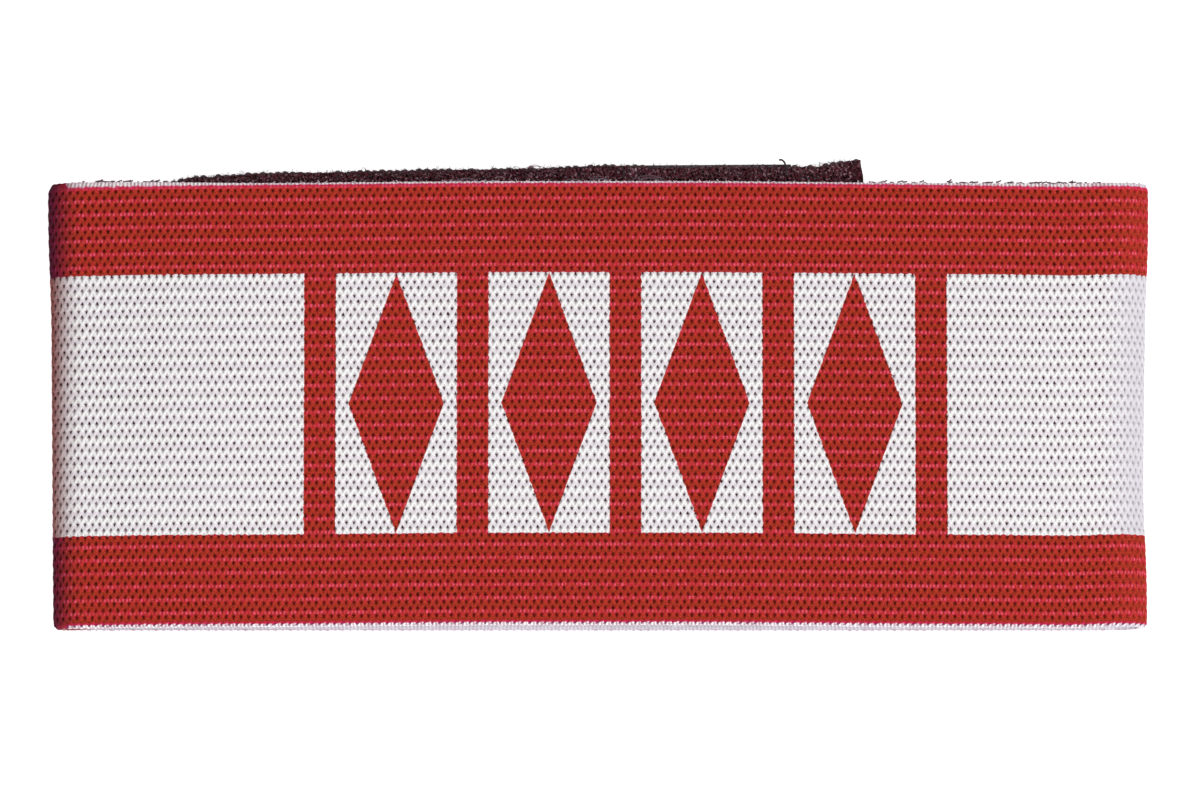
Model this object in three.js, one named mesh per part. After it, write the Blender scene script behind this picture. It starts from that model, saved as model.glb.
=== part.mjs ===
// A captain's armband: one strip of knitted elastic bent round two folds and closed by a hook-and-loop tab.
// It lies flat on its back. Millimetres, +X along the band, +Y up its height, +Z away from what it lies on.

import * as THREE from 'three';

// The elastic tape and how it is folded
const TAPE_HEIGHT = 70; // across the tape
const TAPE_WALL = 1.4;
const FOLDED_LENGTH = 172.4; // from fold to fold, at mid height
const ARM_GAP = 5.7; // clear height between the tab and the front layer
const LEFT_FOLD_LEAN = 0.69; // degrees; the layers behind the left fold are skewed by twice this
const REAR_SET_BACK = 2.4; // the rear layer's cut edge, in from the left silhouette
const INNER_END_LENGTH = 29.3; // the tape's other end, from the left fold to its cut edge

// The fastening
const LAYER_GAP = 0.3; // air left between pieces that touch
const PATCH_WALL = 1.0;
const PATCH_MARGIN_ENDS = 2; // bare tape past each end of the loop patch
const PATCH_MARGIN_TOP = 0.2;
const PATCH_MARGIN_BOTTOM = 2.6;
const PATCH_CORNER = 1.5;
const TAB_WALL = 1.2;
const TAB_LENGTH = 109.6;
const TAB_TOP = 36; // the tab's upper edge, above the tape's middle line
const TAB_BOTTOM = 34.4; // its lower edge, below that line
const TAB_LAP = 14; // tab over the tape's inner end, where the two are sewn together
const TAB_RAMP = 9; // over this length the tab comes down from a layer beneath it
const HOOK_WIDTH = 27.3; // along X, the hook tape's own width
const HOOK_HEIGHT = 72.3;
const HOOK_WALL = 1.4; // backing and hooks
const HOOK_BACKING = 0.5;
const HOOK_SELVEDGE = 1.6; // bare backing along both long edges
const HOOK_SET_BACK = 10.8; // in from the tab's free end
const HOOK_SKEW = -1; // degrees, against the tab

// A fold is three arcs in a row. The bow, which both folds share, drops by a share of ARM_GAP. The
// shoulder and the bend drop by shares of what is left down to the layer behind.
const FOLD_ARCS = [
  { name: 'bow', share: 0.5, endTurn: 12, steps: 7 },
  { name: 'shoulder', share: 0.36, endTurn: 48, steps: 6 },
  { name: 'bend', share: 0.64, endTurn: 180, steps: 14 },
];

// The tab's upper edge: narrower where it is sewn, drawn in beside the hook tape, with a flared free corner.
// along is a share of TAB_LENGTH, and rise is a share of TAB_TOP.
const TAB_UPPER_EDGE = [
  { along: 0, rise: 0.972 },
  { along: 0.05, rise: 0.998 },
  { along: 0.2, rise: 1.012 },
  { along: 0.62, rise: 1.006 },
  { along: 0.76, rise: 0.99 },
  { along: 0.91, rise: 0.984 },
  { along: 1, rise: 1.002 },
];

const ACROSS_STEPS = 4;
const TAB_STEPS = 44;
const CORNER_STEPS = 5;

// Levels, from the surface up
const patchBottom = TAPE_WALL + LAYER_GAP;
const patchTop = patchBottom + PATCH_WALL;
const tabLow = patchTop + LAYER_GAP;
const tabHigh = tabLow + Math.max(TAPE_WALL, HOOK_WALL) + LAYER_GAP;
const tabTop = tabHigh + TAB_WALL;
const rearMiddle = TAPE_WALL / 2;
const innerEndMiddle = tabHigh - LAYER_GAP - TAPE_WALL / 2;
const frontMiddle = tabTop + ARM_GAP + TAPE_WALL / 2;

const radians = THREE.MathUtils.degToRad;
const smooth = THREE.MathUtils.smoothstep;

// The arcs of a fold that drops from the front to a layer at the given level. side is -1 left, 1 right.
function makeFold(side, lean, levelBehind) {
  const bowDrop = ARM_GAP * FOLD_ARCS[0].share;
  const rest = frontMiddle - levelBehind - bowDrop;
  const fold = { side, lean: radians(lean), arcs: [], length: 0, run: 0, drop: 0 };
  let turn = 0;
  for (const { name, share, endTurn, steps } of FOLD_ARCS) {
    const end = radians(endTurn);
    const drop = name === 'bow' ? bowDrop : rest * share;
    const radius = drop / (Math.cos(turn) - Math.cos(end));
    const length = radius * (end - turn);
    fold.arcs.push({ from: fold.length, turn, radius, length, run: fold.run, drop: fold.drop, steps });
    fold.run += radius * (Math.sin(end) - Math.sin(turn));
    fold.drop += drop;
    fold.length += length;
    turn = end;
  }
  const bend = fold.arcs.at(-1);
  const reach = bend.run + bend.radius * (1 - Math.sin(bend.turn)) + TAPE_WALL / 2;
  fold.start = FOLDED_LENGTH / 2 - reach;
  return fold;
}

// How far out and down the tape's middle is at a distance past the fold's start, and how far it has turned.
function foldAt(fold, distance) {
  if (distance <= 0) return { run: distance, drop: 0, turn: 0 };
  if (distance >= fold.length) {
    return { run: fold.run - (distance - fold.length), drop: fold.drop, turn: Math.PI };
  }
  const arc = fold.arcs.findLast((candidate) => distance >= candidate.from);
  const turn = arc.turn + (distance - arc.from) / arc.radius;
  return {
    run: arc.run + arc.radius * (Math.sin(turn) - Math.sin(arc.turn)),
    drop: arc.drop + arc.radius * (Math.cos(arc.turn) - Math.cos(turn)),
    turn,
  };
}

const leftFold = makeFold(-1, LEFT_FOLD_LEAN, innerEndMiddle);
const rightFold = makeFold(1, 0, rearMiddle);

// Where a point of the flat strip lies once it is folded. s runs along the strip from the middle of the
// front, w across it, and out is the distance from the tape's middle towards its printed face.
function tapePoint(s, w, out) {
  const fold = s < 0 ? leftFold : rightFold;
  const [sine, cosine] = [Math.sin(fold.lean), Math.cos(fold.lean)];
  const past = fold.side * s - fold.start;
  const { run, drop, turn } = foldAt(fold, past * cosine - w * sine);
  const outward = run + Math.sin(turn) * out;
  const along = past * sine + w * cosine;
  return new THREE.Vector3(
    fold.side * (fold.start + outward * cosine + along * sine),
    along * cosine - outward * sine,
    frontMiddle - drop + Math.cos(turn) * out,
  );
}

// The place along the strip where the ruling at a distance past a fold's start crosses the height w.
function rulingAt(fold, distance, w) {
  return fold.side * (fold.start + (distance + w * Math.sin(fold.lean)) / Math.cos(fold.lean));
}

// A cut edge square across the strip, at a distance past the end of a fold.
function cutAt(fold, pastEnd) {
  return () => fold.side * (fold.start + fold.length + pastEnd);
}

// The rulings of a fold, from its start to its end, each as a function of the height w.
function foldRulings(fold) {
  const distances = [0];
  for (const arc of fold.arcs) {
    for (let step = 1; step <= arc.steps; step += 1) {
      distances.push(arc.from + (arc.length * step) / arc.steps);
    }
  }
  return distances.map((distance) => (w) => rulingAt(fold, distance, w));
}

// A box with a grid of faces, bent by a function of (step along, height share, 0 inside or 1 outside).
function bentBox(alongSteps, acrossSteps, place) {
  const geometry = new THREE.BoxGeometry(alongSteps, 1, 1, alongSteps, acrossSteps, 1);
  geometry.translate(alongSteps / 2, 0.5, 0.5);
  const positions = geometry.getAttribute('position');
  for (let index = 0; index < positions.count; index += 1) {
    const step = Math.round(positions.getX(index));
    const point = place(step, positions.getY(index), Math.round(positions.getZ(index)));
    positions.setXYZ(index, point.x, point.y, point.z);
  }
  geometry.computeVertexNormals();
  return geometry;
}

function named(name, geometry, color, roughness) {
  const material = new THREE.MeshStandardMaterial({ color, roughness, metalness: 0 });
  const mesh = new THREE.Mesh(geometry, material);
  mesh.name = name;
  return mesh;
}

// One strip: inner end, left fold, front, right fold and rear layer.
function elasticBand() {
  const rearLength = rightFold.start + rightFold.run + FOLDED_LENGTH / 2 - REAR_SET_BACK;
  const stations = [
    cutAt(leftFold, INNER_END_LENGTH),
    ...foldRulings(leftFold).reverse(),
    ...foldRulings(rightFold),
    cutAt(rightFold, rearLength),
  ];
  const place = (step, share, side) => {
    const w = (share - 0.5) * TAPE_HEIGHT;
    return tapePoint(stations[step](w), w, (side - 0.5) * TAPE_WALL);
  };
  return named('elastic_band', bentBox(stations.length - 1, ACROSS_STEPS, place), 0xe1dbdf, 0.9);
}

function roundedRectangle(left, bottom, right, top, radius) {
  const shape = new THREE.Shape();
  shape.moveTo(left + radius, bottom);
  shape.lineTo(right - radius, bottom);
  shape.absarc(right - radius, bottom + radius, radius, -Math.PI / 2, 0, false);
  shape.lineTo(right, top - radius);
  shape.absarc(right - radius, top - radius, radius, 0, Math.PI / 2, false);
  shape.lineTo(left + radius, top);
  shape.absarc(left + radius, top - radius, radius, Math.PI / 2, Math.PI, false);
  shape.lineTo(left, bottom + radius);
  shape.absarc(left + radius, bottom + radius, radius, Math.PI, Math.PI * 1.5, false);
  return shape;
}

// The pile patch lies on the inner face of the rear layer, between its cut edge and the right fold.
function loopPatch() {
  const left = REAR_SET_BACK + PATCH_MARGIN_ENDS - FOLDED_LENGTH / 2;
  const right = rightFold.start + rightFold.run - PATCH_MARGIN_ENDS;
  const bottom = PATCH_MARGIN_BOTTOM - TAPE_HEIGHT / 2;
  const top = TAPE_HEIGHT / 2 - PATCH_MARGIN_TOP;
  const outline = roundedRectangle(left, bottom, right, top, PATCH_CORNER);
  const options = { depth: PATCH_WALL, bevelEnabled: false, curveSegments: CORNER_STEPS };
  const mesh = named('loop_patch', new THREE.ExtrudeGeometry(outline, options), 0x33262b, 1);
  mesh.position.z = patchBottom;
  return mesh;
}

// A frame for what is sewn to the skewed inner end: its origin is on the strip's middle line at the
// tab's sewn end, at surface level, with x along the tab.
function tabFrame() {
  const sewnEnd = cutAt(leftFold, INNER_END_LENGTH - TAB_LAP)();
  const origin = tapePoint(sewnEnd, 0, 0);
  const frame = new THREE.Group();
  frame.position.set(origin.x, origin.y, 0);
  frame.rotation.z = 2 * leftFold.lean;
  return frame;
}

// The tab's lower face: on the tape's inner end, on the hook tape, and down on the patch elsewhere.
function tabLevel(x) {
  const hookRight = TAB_LENGTH - HOOK_SET_BACK;
  const hookLeft = hookRight - HOOK_WIDTH;
  const skewReach = (Math.abs(Math.sin(radians(HOOK_SKEW))) * HOOK_HEIGHT) / 2;
  const offLap = smooth(x, TAB_LAP + LAYER_GAP, TAB_LAP + LAYER_GAP + TAB_RAMP);
  const ontoHook = smooth(x, hookLeft - skewReach - TAB_RAMP, hookLeft - skewReach - LAYER_GAP);
  const offHook = smooth(x, hookRight + skewReach + LAYER_GAP, hookRight + skewReach + TAB_RAMP);
  const raised = Math.max(1 - offLap, ontoHook - offHook);
  return tabLow + (tabHigh - tabLow) * raised;
}

// The height of the tab's upper edge at x, eased between the rows of its table.
function tabUpperEdge(x) {
  const share = x / TAB_LENGTH;
  const next = Math.max(1, TAB_UPPER_EDGE.findIndex((row) => row.along >= share - 1e-9));
  const [before, after] = [TAB_UPPER_EDGE[next - 1], TAB_UPPER_EDGE[next]];
  const blend = smooth(share, before.along, after.along);
  return (before.rise + (after.rise - before.rise) * blend) * TAB_TOP;
}

function closureTab() {
  const place = (step, share, side) => {
    const x = (step / TAB_STEPS) * TAB_LENGTH;
    const y = -TAB_BOTTOM + (tabUpperEdge(x) + TAB_BOTTOM) * share;
    return new THREE.Vector3(x, y, tabLevel(x) + side * TAB_WALL);
  };
  return named('closure_tab', bentBox(TAB_STEPS, ACROSS_STEPS, place), 0x44282d, 0.95);
}

// The hook tape hangs under the tab: a backing with a selvedge along each side and the hooks between them.
function hookTape() {
  const half = HOOK_WIDTH / 2;
  const field = half - HOOK_SELVEDGE;
  const top = tabHigh - LAYER_GAP;
  const section = new THREE.Shape();
  section.moveTo(-half, top);
  section.lineTo(-half, top - HOOK_BACKING);
  section.lineTo(-field, top - HOOK_BACKING);
  section.lineTo(-field, top - HOOK_WALL);
  section.lineTo(field, top - HOOK_WALL);
  section.lineTo(field, top - HOOK_BACKING);
  section.lineTo(half, top - HOOK_BACKING);
  section.lineTo(half, top);
  const geometry = new THREE.ExtrudeGeometry(section, { depth: HOOK_HEIGHT, bevelEnabled: false });
  geometry.translate(0, 0, -HOOK_HEIGHT / 2);
  geometry.rotateX(Math.PI / 2);
  const mesh = named('hook_tape', geometry, 0x2a1b20, 0.7);
  mesh.position.x = TAB_LENGTH - HOOK_SET_BACK - half;
  mesh.rotation.z = radians(HOOK_SKEW);
  return mesh;
}

// The whole armband, with its origin at the middle of its outline on the surface that it lies on.
function armband() {
  const fastening = tabFrame();
  fastening.add(closureTab(), hookTape());
  const model = new THREE.Group();
  model.add(elasticBand(), loopPatch(), fastening);
  const box = new THREE.Box3().setFromObject(model, true);
  const middle = box.getCenter(new THREE.Vector3());
  model.position.set(-middle.x, -middle.y, -box.min.z);
  const whole = new THREE.Group();
  whole.add(model);
  return whole;
}

export default armband();
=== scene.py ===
"""Looks of a captain's armband: printed knitted elastic, closed on itself by a black hook-and-loop tab.

Every piece is first built flat, in the tape's own coordinates: x runs along the strip from the middle of
the front, y across it and z out of its printed face. It is then folded to the shape that the frame holds.
Lengths are in metres, in the frame's own axes.
"""

from __future__ import annotations

import logging
import math
from collections.abc import Sequence
from dataclasses import dataclass, field
from enum import Enum

import bmesh
import bpy
import numpy as np
from mathutils import Matrix, Vector

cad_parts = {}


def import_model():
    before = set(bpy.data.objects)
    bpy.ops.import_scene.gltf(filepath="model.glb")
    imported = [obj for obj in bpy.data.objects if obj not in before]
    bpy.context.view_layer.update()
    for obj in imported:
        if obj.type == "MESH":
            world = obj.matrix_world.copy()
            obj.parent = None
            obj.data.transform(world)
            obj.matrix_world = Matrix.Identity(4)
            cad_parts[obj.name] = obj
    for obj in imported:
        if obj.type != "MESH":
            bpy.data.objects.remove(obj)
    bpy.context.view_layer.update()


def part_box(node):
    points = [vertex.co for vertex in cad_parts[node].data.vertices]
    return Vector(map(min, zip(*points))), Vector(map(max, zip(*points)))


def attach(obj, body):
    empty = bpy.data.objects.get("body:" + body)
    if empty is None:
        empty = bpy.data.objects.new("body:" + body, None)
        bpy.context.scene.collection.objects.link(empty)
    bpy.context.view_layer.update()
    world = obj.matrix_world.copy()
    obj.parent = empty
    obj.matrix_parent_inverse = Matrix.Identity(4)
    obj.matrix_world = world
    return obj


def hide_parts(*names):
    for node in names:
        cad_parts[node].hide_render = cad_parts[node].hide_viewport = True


MM = 0.001
BODY = "root"
LOG = logging.getLogger("armband")

Socket = bpy.types.NodeSocket


def ink(red: int, green: int, blue: int) -> tuple[float, float, float, float]:
    """Turn a screen colour into the linear colour that a shader takes.

    Args:
        red: Red, from 0 to 255.
        green: Green, from 0 to 255.
        blue: Blue, from 0 to 255.

    Returns:
        The linear colour, with an alpha of 1.
    """

    def linear(level: int) -> float:
        share = level / 255
        return share / 12.92 if share <= 0.04045 else ((share + 0.055) / 1.055) ** 2.4

    return (linear(red), linear(green), linear(blue), 1.0)


def smoothstep(value: np.ndarray, low: float, high: float) -> np.ndarray:
    """Ease from 0 at low to 1 at high."""
    share = np.clip((value - low) / (high - low), 0, 1)
    return share * share * (3 - 2 * share)


def wrap(value: np.ndarray) -> np.ndarray:
    """The distance from the nearest whole number, from -0.5 to 0.5."""
    return value - np.round(value)


def scatter(index: np.ndarray, seed: float) -> np.ndarray:
    """A repeatable random number from -1 to 1 for each index."""
    return 2 * np.modf(np.abs(np.sin(index * 12.9898 + seed * 78.233) * 43758.5453))[0] - 1


class Face(Enum):
    """Which side of the cloth a material slot dresses."""

    OUTER = 0
    INNER = 1


# The tape and its folds


@dataclass(frozen=True)
class Arc:
    """One round stretch of a fold, seen along the fold's line."""

    start: float
    length: float
    turn: float
    radius: float
    run: float
    drop: float


@dataclass(frozen=True)
class ArcShare:
    """How much of a fold's drop one arc takes, and how far the cloth has turned at its end."""

    share: float
    end_turn: float


class Fold:
    """A fold of the tape: a shallow bow, a shoulder and the tight bend, down to the layer behind."""

    BOW = ArcShare(0.5, math.radians(12))
    TURNS = (ArcShare(0.36, math.radians(48)), ArcShare(0.64, math.radians(180)))

    def __init__(self, side: int, lean: float, reach: float, wall: float, gap: float, drop: float) -> None:
        """Work out the arcs.

        Args:
            side: -1 for the left fold, 1 for the right one.
            lean: How far the fold's line leans outwards at the upper edge, in radians.
            reach: Distance of the fold's silhouette from the middle of the band.
            wall: Thickness of the tape.
            gap: Clear height inside the loop, of which the bow takes a share.
            drop: Height from the front layer's middle to that of the layer behind.
        """
        self.side = side
        self.lean = lean
        self.arcs: list[Arc] = []
        self.length = self.run = self.drop = 0.0
        bow_drop = gap * self.BOW.share
        drops = [(self.BOW.end_turn, bow_drop)]
        drops += [(row.end_turn, (drop - bow_drop) * row.share) for row in self.TURNS]
        turn = 0.0
        for end_turn, arc_drop in drops:
            radius = arc_drop / (math.cos(turn) - math.cos(end_turn))
            length = radius * (end_turn - turn)
            self.arcs.append(Arc(self.length, length, turn, radius, self.run, self.drop))
            self.length += length
            self.run += radius * (math.sin(end_turn) - math.sin(turn))
            self.drop += arc_drop
            turn = end_turn
        bend = self.arcs[-1]
        self.start = reach - bend.run - bend.radius * (1 - math.sin(bend.turn)) - wall / 2

    def profile(self, distance: np.ndarray) -> tuple[np.ndarray, np.ndarray, np.ndarray]:
        """Follow the fold.

        Args:
            distance: Distances past the fold's start, measured along the tape.

        Returns:
            How far out and how far down the tape's middle is there, and how far it has turned.
        """
        run, drop, turn = distance.copy(), np.zeros_like(distance), np.zeros_like(distance)
        for arc in self.arcs:
            past = distance > arc.start
            angle = arc.turn + np.minimum(distance[past] - arc.start, arc.length) / arc.radius
            run[past] = arc.run + arc.radius * (np.sin(angle) - math.sin(arc.turn))
            drop[past] = arc.drop + arc.radius * (math.cos(arc.turn) - np.cos(angle))
            turn[past] = angle
        run -= np.maximum(distance - self.length, 0)
        return run, drop, turn


@dataclass(frozen=True)
class Drape:
    """How the front lies: its ends a little low in the picture, its folds drawn out at the stripes."""

    sag: float = 0.32 * MM
    sag_from: float = 12 * MM
    sag_to: float = 60 * MM
    fold_from: float = 72 * MM
    fold_to: float = 86 * MM
    fold_lift: float = 0.2 * MM
    bulge: float = 0.45 * MM
    bulge_from: float = 12 * MM
    bulge_to: float = 30 * MM
    corner: float = 1.1 * MM
    corner_depth: float = 0.42 * MM
    flare: float = 0.5 * MM
    flare_from: float = 50 * MM
    flare_height: float = 0.5 * MM
    upper_bulge: float = 0.6 * MM

    def shifts(
        self, side: int, along: np.ndarray, across: np.ndarray, half: float
    ) -> tuple[np.ndarray, np.ndarray]:
        """How far the cloth is moved from the plain fold.

        Args:
            side: -1 for the left half of the strip, 1 for the right one.
            along: Distances from the middle of the front.
            across: Heights across the strip.
            half: Half the strip's height.

        Returns:
            The shifts outwards and up.
        """
        at_fold = smoothstep(along, self.fold_from, self.fold_to)
        front = 1 - smoothstep(along, self.fold_to, self.fold_to + 12 * MM)
        up = -self.sag * smoothstep(along, self.sag_from, self.sag_to) * front
        if side > 0:
            up += (self.sag + self.fold_lift) * at_fold * front
        edge = smoothstep(across, half - self.flare_height, half)
        flare = self.flare * (0.35 if side > 0 else 1)
        up += flare * edge * smoothstep(along, self.flare_from, self.fold_to) * front
        printed = smoothstep(np.abs(across) if side > 0 else across, self.bulge_from, self.bulge_to)
        rounding = np.clip((np.abs(across) - half) / self.corner + 1, 0, 1) ** 2 * (0.3 if side > 0 else 1)
        out = self.bulge * printed - self.corner_depth * rounding
        if side > 0:
            out += self.upper_bulge * smoothstep(across, -18 * MM, 25 * MM)
        return out * at_fold * front, up


@dataclass(frozen=True)
class TapeSizes:
    """Driving sizes of the elastic tape, the same as the frame's."""

    height: float = 70 * MM
    wall: float = 1.4 * MM
    folded_length: float = 172.4 * MM
    left_lean: float = math.radians(0.69)
    rear_set_back: float = 2.4 * MM
    inner_end: float = 29.3 * MM


class Tape:
    """The folded strip: turns flat coordinates into places in the frame."""

    def __init__(self, sizes: TapeSizes) -> None:
        """Take the levels of the layers from the frame's boxes.

        Args:
            sizes: Driving sizes of the tape.
        """
        self.sizes = sizes
        self.drape = Drape()
        band_low, band_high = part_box("elastic_band")
        tab_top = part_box("closure_tab")[1].z
        hook_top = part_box("hook_tape")[1].z
        reach = sizes.folded_length / 2
        gap = band_high.z - sizes.wall - tab_top
        self.front = band_high.z - sizes.wall / 2
        self.shift = Vector((band_high.x - reach, band_low.y + sizes.height / 2, 0))
        inner_end = hook_top - sizes.wall / 2
        self.left = Fold(-1, sizes.left_lean, reach, sizes.wall, gap, self.front - inner_end)
        self.right = Fold(1, 0.0, reach, sizes.wall, gap, self.front - sizes.wall / 2)
        self.left_end = -(self.left.start + self.left.length + sizes.inner_end)
        rear_length = self.right.start + self.right.run + reach - sizes.rear_set_back
        self.right_end = self.right.start + self.right.length + rear_length

    def fold_points(self, flat: np.ndarray) -> np.ndarray:
        """Fold flat points.

        Args:
            flat: Rows of (along, across, out of the printed face).

        Returns:
            The same points in the frame.
        """
        placed = np.empty_like(flat)
        for fold in (self.left, self.right):
            mine = (flat[:, 0] < 0) == (fold.side < 0)
            along, across, out = flat[mine].T
            sine, cosine = math.sin(fold.lean), math.cos(fold.lean)
            past = fold.side * along - fold.start
            run, drop, turn = fold.profile(past * cosine - across * sine)
            outward = run + np.sin(turn) * out
            beside = past * sine + across * cosine
            spread, lift = self.drape.shifts(fold.side, fold.side * along, across, self.sizes.height / 2)
            placed[mine, 0] = fold.side * (fold.start + outward * cosine + beside * sine + spread)
            placed[mine, 1] = beside * cosine - outward * sine + lift
            placed[mine, 2] = self.front - drop + np.cos(turn) * out
        return placed + np.array(self.shift)


@dataclass(frozen=True)
class Knit:
    """One repeat of the knit, and the relief that its yarns make.

    Each repeat has two holes, half a repeat apart along the tape. The upper one points down and the
    lower one up, and between one pair and the next the yarns cross in a zigzag. Its widths and places
    are in repeats.
    """

    along: float = 1.177 * MM
    across: float = 2.103 * MM
    first_row: float = 0.58
    first_column: float = 0.47
    lower_hole: tuple[float, float] = (0.5, 0.37)
    hole_depth: float = 0.3 * MM
    groove_depth: float = 0.08 * MM
    crest_height: float = 0.09 * MM
    crest_middle: float = 0.67
    crest_swing: float = 0.2
    selvedge: float = 1.0 * MM
    hole_width: float = 0.13
    hole_taper: float = 0.6
    tip_width: float = 0.07
    groove_width: float = 0.15
    crest_width: float = 0.14
    uneven: float = 0.3

    def cells(self, flat: np.ndarray, height: float) -> tuple[np.ndarray, np.ndarray]:
        """Count repeats along and down from the first row of holes.

        Args:
            flat: Rows of flat points.
            height: The tape's height.

        Returns:
            The repeat along and the repeat down, with their fractions.
        """
        down = (height / 2 - flat[:, 1]) / self.across - self.first_row
        return flat[:, 0] / self.along - self.first_column, down

    def hole(self, beside: np.ndarray, below: np.ndarray) -> tuple[np.ndarray, np.ndarray]:
        """Depth of one hole and of the groove above it, from 0 to 1.

        Args:
            beside: Distance from the hole's middle along the tape, in repeats.
            below: The same, downwards.

        Returns:
            The hole's and the groove's depth. The hole is a triangle, wide at the groove's end.
        """
        width = np.maximum(self.hole_width - self.hole_taper * below, self.tip_width)
        core = np.exp(-((beside / width) ** 2)) * smoothstep(below, -0.2, -0.04)
        groove = np.exp(-((beside / self.groove_width) ** 2)) * smoothstep(below, -0.48, -0.34)
        return core * (1 - smoothstep(below, 0.05, 0.17)), groove * (1 - smoothstep(below, -0.16, -0.06))

    def relief(self, u: np.ndarray, v: np.ndarray) -> np.ndarray:
        """Height of the knitted surface.

        Args:
            u: Repeats along.
            v: Repeats down.

        Returns:
            The height over the tape's mean surface, in metres.
        """
        upper = self.hole(wrap(u), wrap(v))
        lower = self.hole(wrap(u - self.lower_hole[0]), -wrap(v - self.lower_hole[1]))
        crest_line = self.crest_middle - self.crest_swing * np.cos(2 * np.pi * u)
        crest = np.exp(-((wrap(v - crest_line) / self.crest_width) ** 2))
        depth = 1 + self.uneven * scatter(np.round(u) * 7 + np.round(v) * 131, 1.0)
        return (
            self.crest_height * crest
            - self.hole_depth * depth * (upper[0] + lower[0])
            - self.groove_depth * (upper[1] + lower[1])
        )


# Making meshes


def to_mesh(bm: bmesh.types.BMesh, name: str) -> bpy.types.Mesh:
    """Free a bmesh into a new mesh with smooth faces."""
    mesh = bpy.data.meshes.new(name)
    bm.to_mesh(mesh)
    bm.free()
    mesh.shade_smooth()
    return mesh


def dress(piece: bpy.types.Object, material: bpy.types.Material) -> bpy.types.Object:
    """Give a piece one material if it has none, and ride it on the body."""
    if not piece.data.materials:
        piece.data.materials.append(material)
    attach(piece, BODY)
    return piece


def to_object(mesh: bpy.types.Mesh, name: str) -> bpy.types.Object:
    """Link a mesh into the scene as an object at the origin."""
    piece = bpy.data.objects.new(name, mesh)
    bpy.context.scene.collection.objects.link(piece)
    return piece


def points_of(mesh: bpy.types.Mesh) -> np.ndarray:
    """The mesh's vertices as rows of numbers."""
    flat = np.empty(len(mesh.vertices) * 3, np.float32)
    mesh.vertices.foreach_get("co", flat)
    return flat.reshape(-1, 3).astype(float)


def move_points(mesh: bpy.types.Mesh, points: np.ndarray) -> None:
    """Put the mesh's vertices at new places."""
    mesh.vertices.foreach_set("co", points.astype(np.float32).ravel())
    mesh.update()


def lay_uv(mesh: bpy.types.Mesh, points: np.ndarray) -> None:
    """Store the flat coordinates along and across as the UV map that the finishes read.

    Args:
        mesh: The mesh.
        points: Its flat points.
    """
    layer = mesh.uv_layers.new(name="tape")
    corner = np.empty(len(mesh.loops), np.int32)
    mesh.loops.foreach_get("vertex_index", corner)
    layer.uv.foreach_set("vector", points[corner, :2].astype(np.float32).ravel())


@dataclass(frozen=True)
class Panel:
    """A closed flat panel of cloth: a fine outer face, a coarser inner one and a rim round them."""

    low: tuple[float, float]
    high: tuple[float, float]
    wall: float
    inner_steps: tuple[int, int]
    finer: tuple[int, int]

    def build(self, name: str) -> bpy.types.Mesh:
        """Build the panel, with the inner face and the rim in the second material slot.

        Args:
            name: The mesh's name.

        Returns:
            The flat mesh.
        """
        bm = bmesh.new()
        size = Matrix.Diagonal((self.high[0] - self.low[0], self.high[1] - self.low[1], 1, 1))
        middle = ((self.low[0] + self.high[0]) / 2, (self.low[1] + self.high[1]) / 2)
        rims: list[list[bmesh.types.BMEdge]] = []
        for level, finer in ((self.wall / 2, self.finer), (-self.wall / 2, (1, 1))):
            before = len(bm.faces)
            bmesh.ops.create_grid(
                bm,
                x_segments=self.inner_steps[0] * finer[0],
                y_segments=self.inner_steps[1] * finer[1],
                size=0.5,
                matrix=Matrix.Translation((*middle, level)) @ size,
            )
            bm.faces.ensure_lookup_table()
            faces = bm.faces[before:]
            if level < 0:
                bmesh.ops.reverse_faces(bm, faces=faces)
                for face in faces:
                    face.material_index = Face.INNER.value
            rims.append([edge for edge in bm.edges if edge.is_boundary and edge.verts[0].co.z * level > 0])
        rims[1] = self._match_rim(bm, rims[1])
        for edge in rims[0] + rims[1]:
            edge.smooth = False
        rim = bmesh.ops.bridge_loops(bm, edges=rims[0] + rims[1])["faces"]
        for face in rim:
            face.material_index = Face.INNER.value
        bmesh.ops.recalc_face_normals(bm, faces=bm.faces)
        return to_mesh(bm, name)

    def _match_rim(self, bm: bmesh.types.BMesh, rim: list[bmesh.types.BMEdge]) -> list[bmesh.types.BMEdge]:
        """Cut the coarse face's rim as often as the fine one's, so that the two can be bridged.

        Args:
            bm: The panel so far.
            rim: The coarse face's boundary.

        Returns:
            The boundary with its cuts.
        """
        level = rim[0].verts[0].co.z
        lengthwise = [edge for edge in rim if abs(edge.verts[0].co.x - edge.verts[1].co.x) > 1e-7]
        crosswise = [edge for edge in rim if abs(edge.verts[0].co.x - edge.verts[1].co.x) <= 1e-7]
        for edges, finer in ((lengthwise, self.finer[0]), (crosswise, self.finer[1])):
            if finer > 1:
                bmesh.ops.subdivide_edges(bm, edges=edges, cuts=finer - 1)
        return [edge for edge in bm.edges if edge.is_boundary and edge.verts[0].co.z * level > 0]


def repeat(template: bpy.types.Mesh, places: Sequence[Matrix], name: str) -> bpy.types.Mesh:
    """Copy a small mesh to many places, in one mesh.

    Args:
        template: The small mesh. It is removed.
        places: One matrix for each copy.
        name: The new mesh's name.

    Returns:
        The joined mesh.
    """
    bm = bmesh.new()
    for place in places:
        copy = template.copy()
        copy.transform(place)
        bm.from_mesh(copy)
        bpy.data.meshes.remove(copy)
    bpy.data.meshes.remove(template)
    bmesh.ops.recalc_face_normals(bm, faces=bm.faces)
    return to_mesh(bm, name)


# Shader graphs


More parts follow.
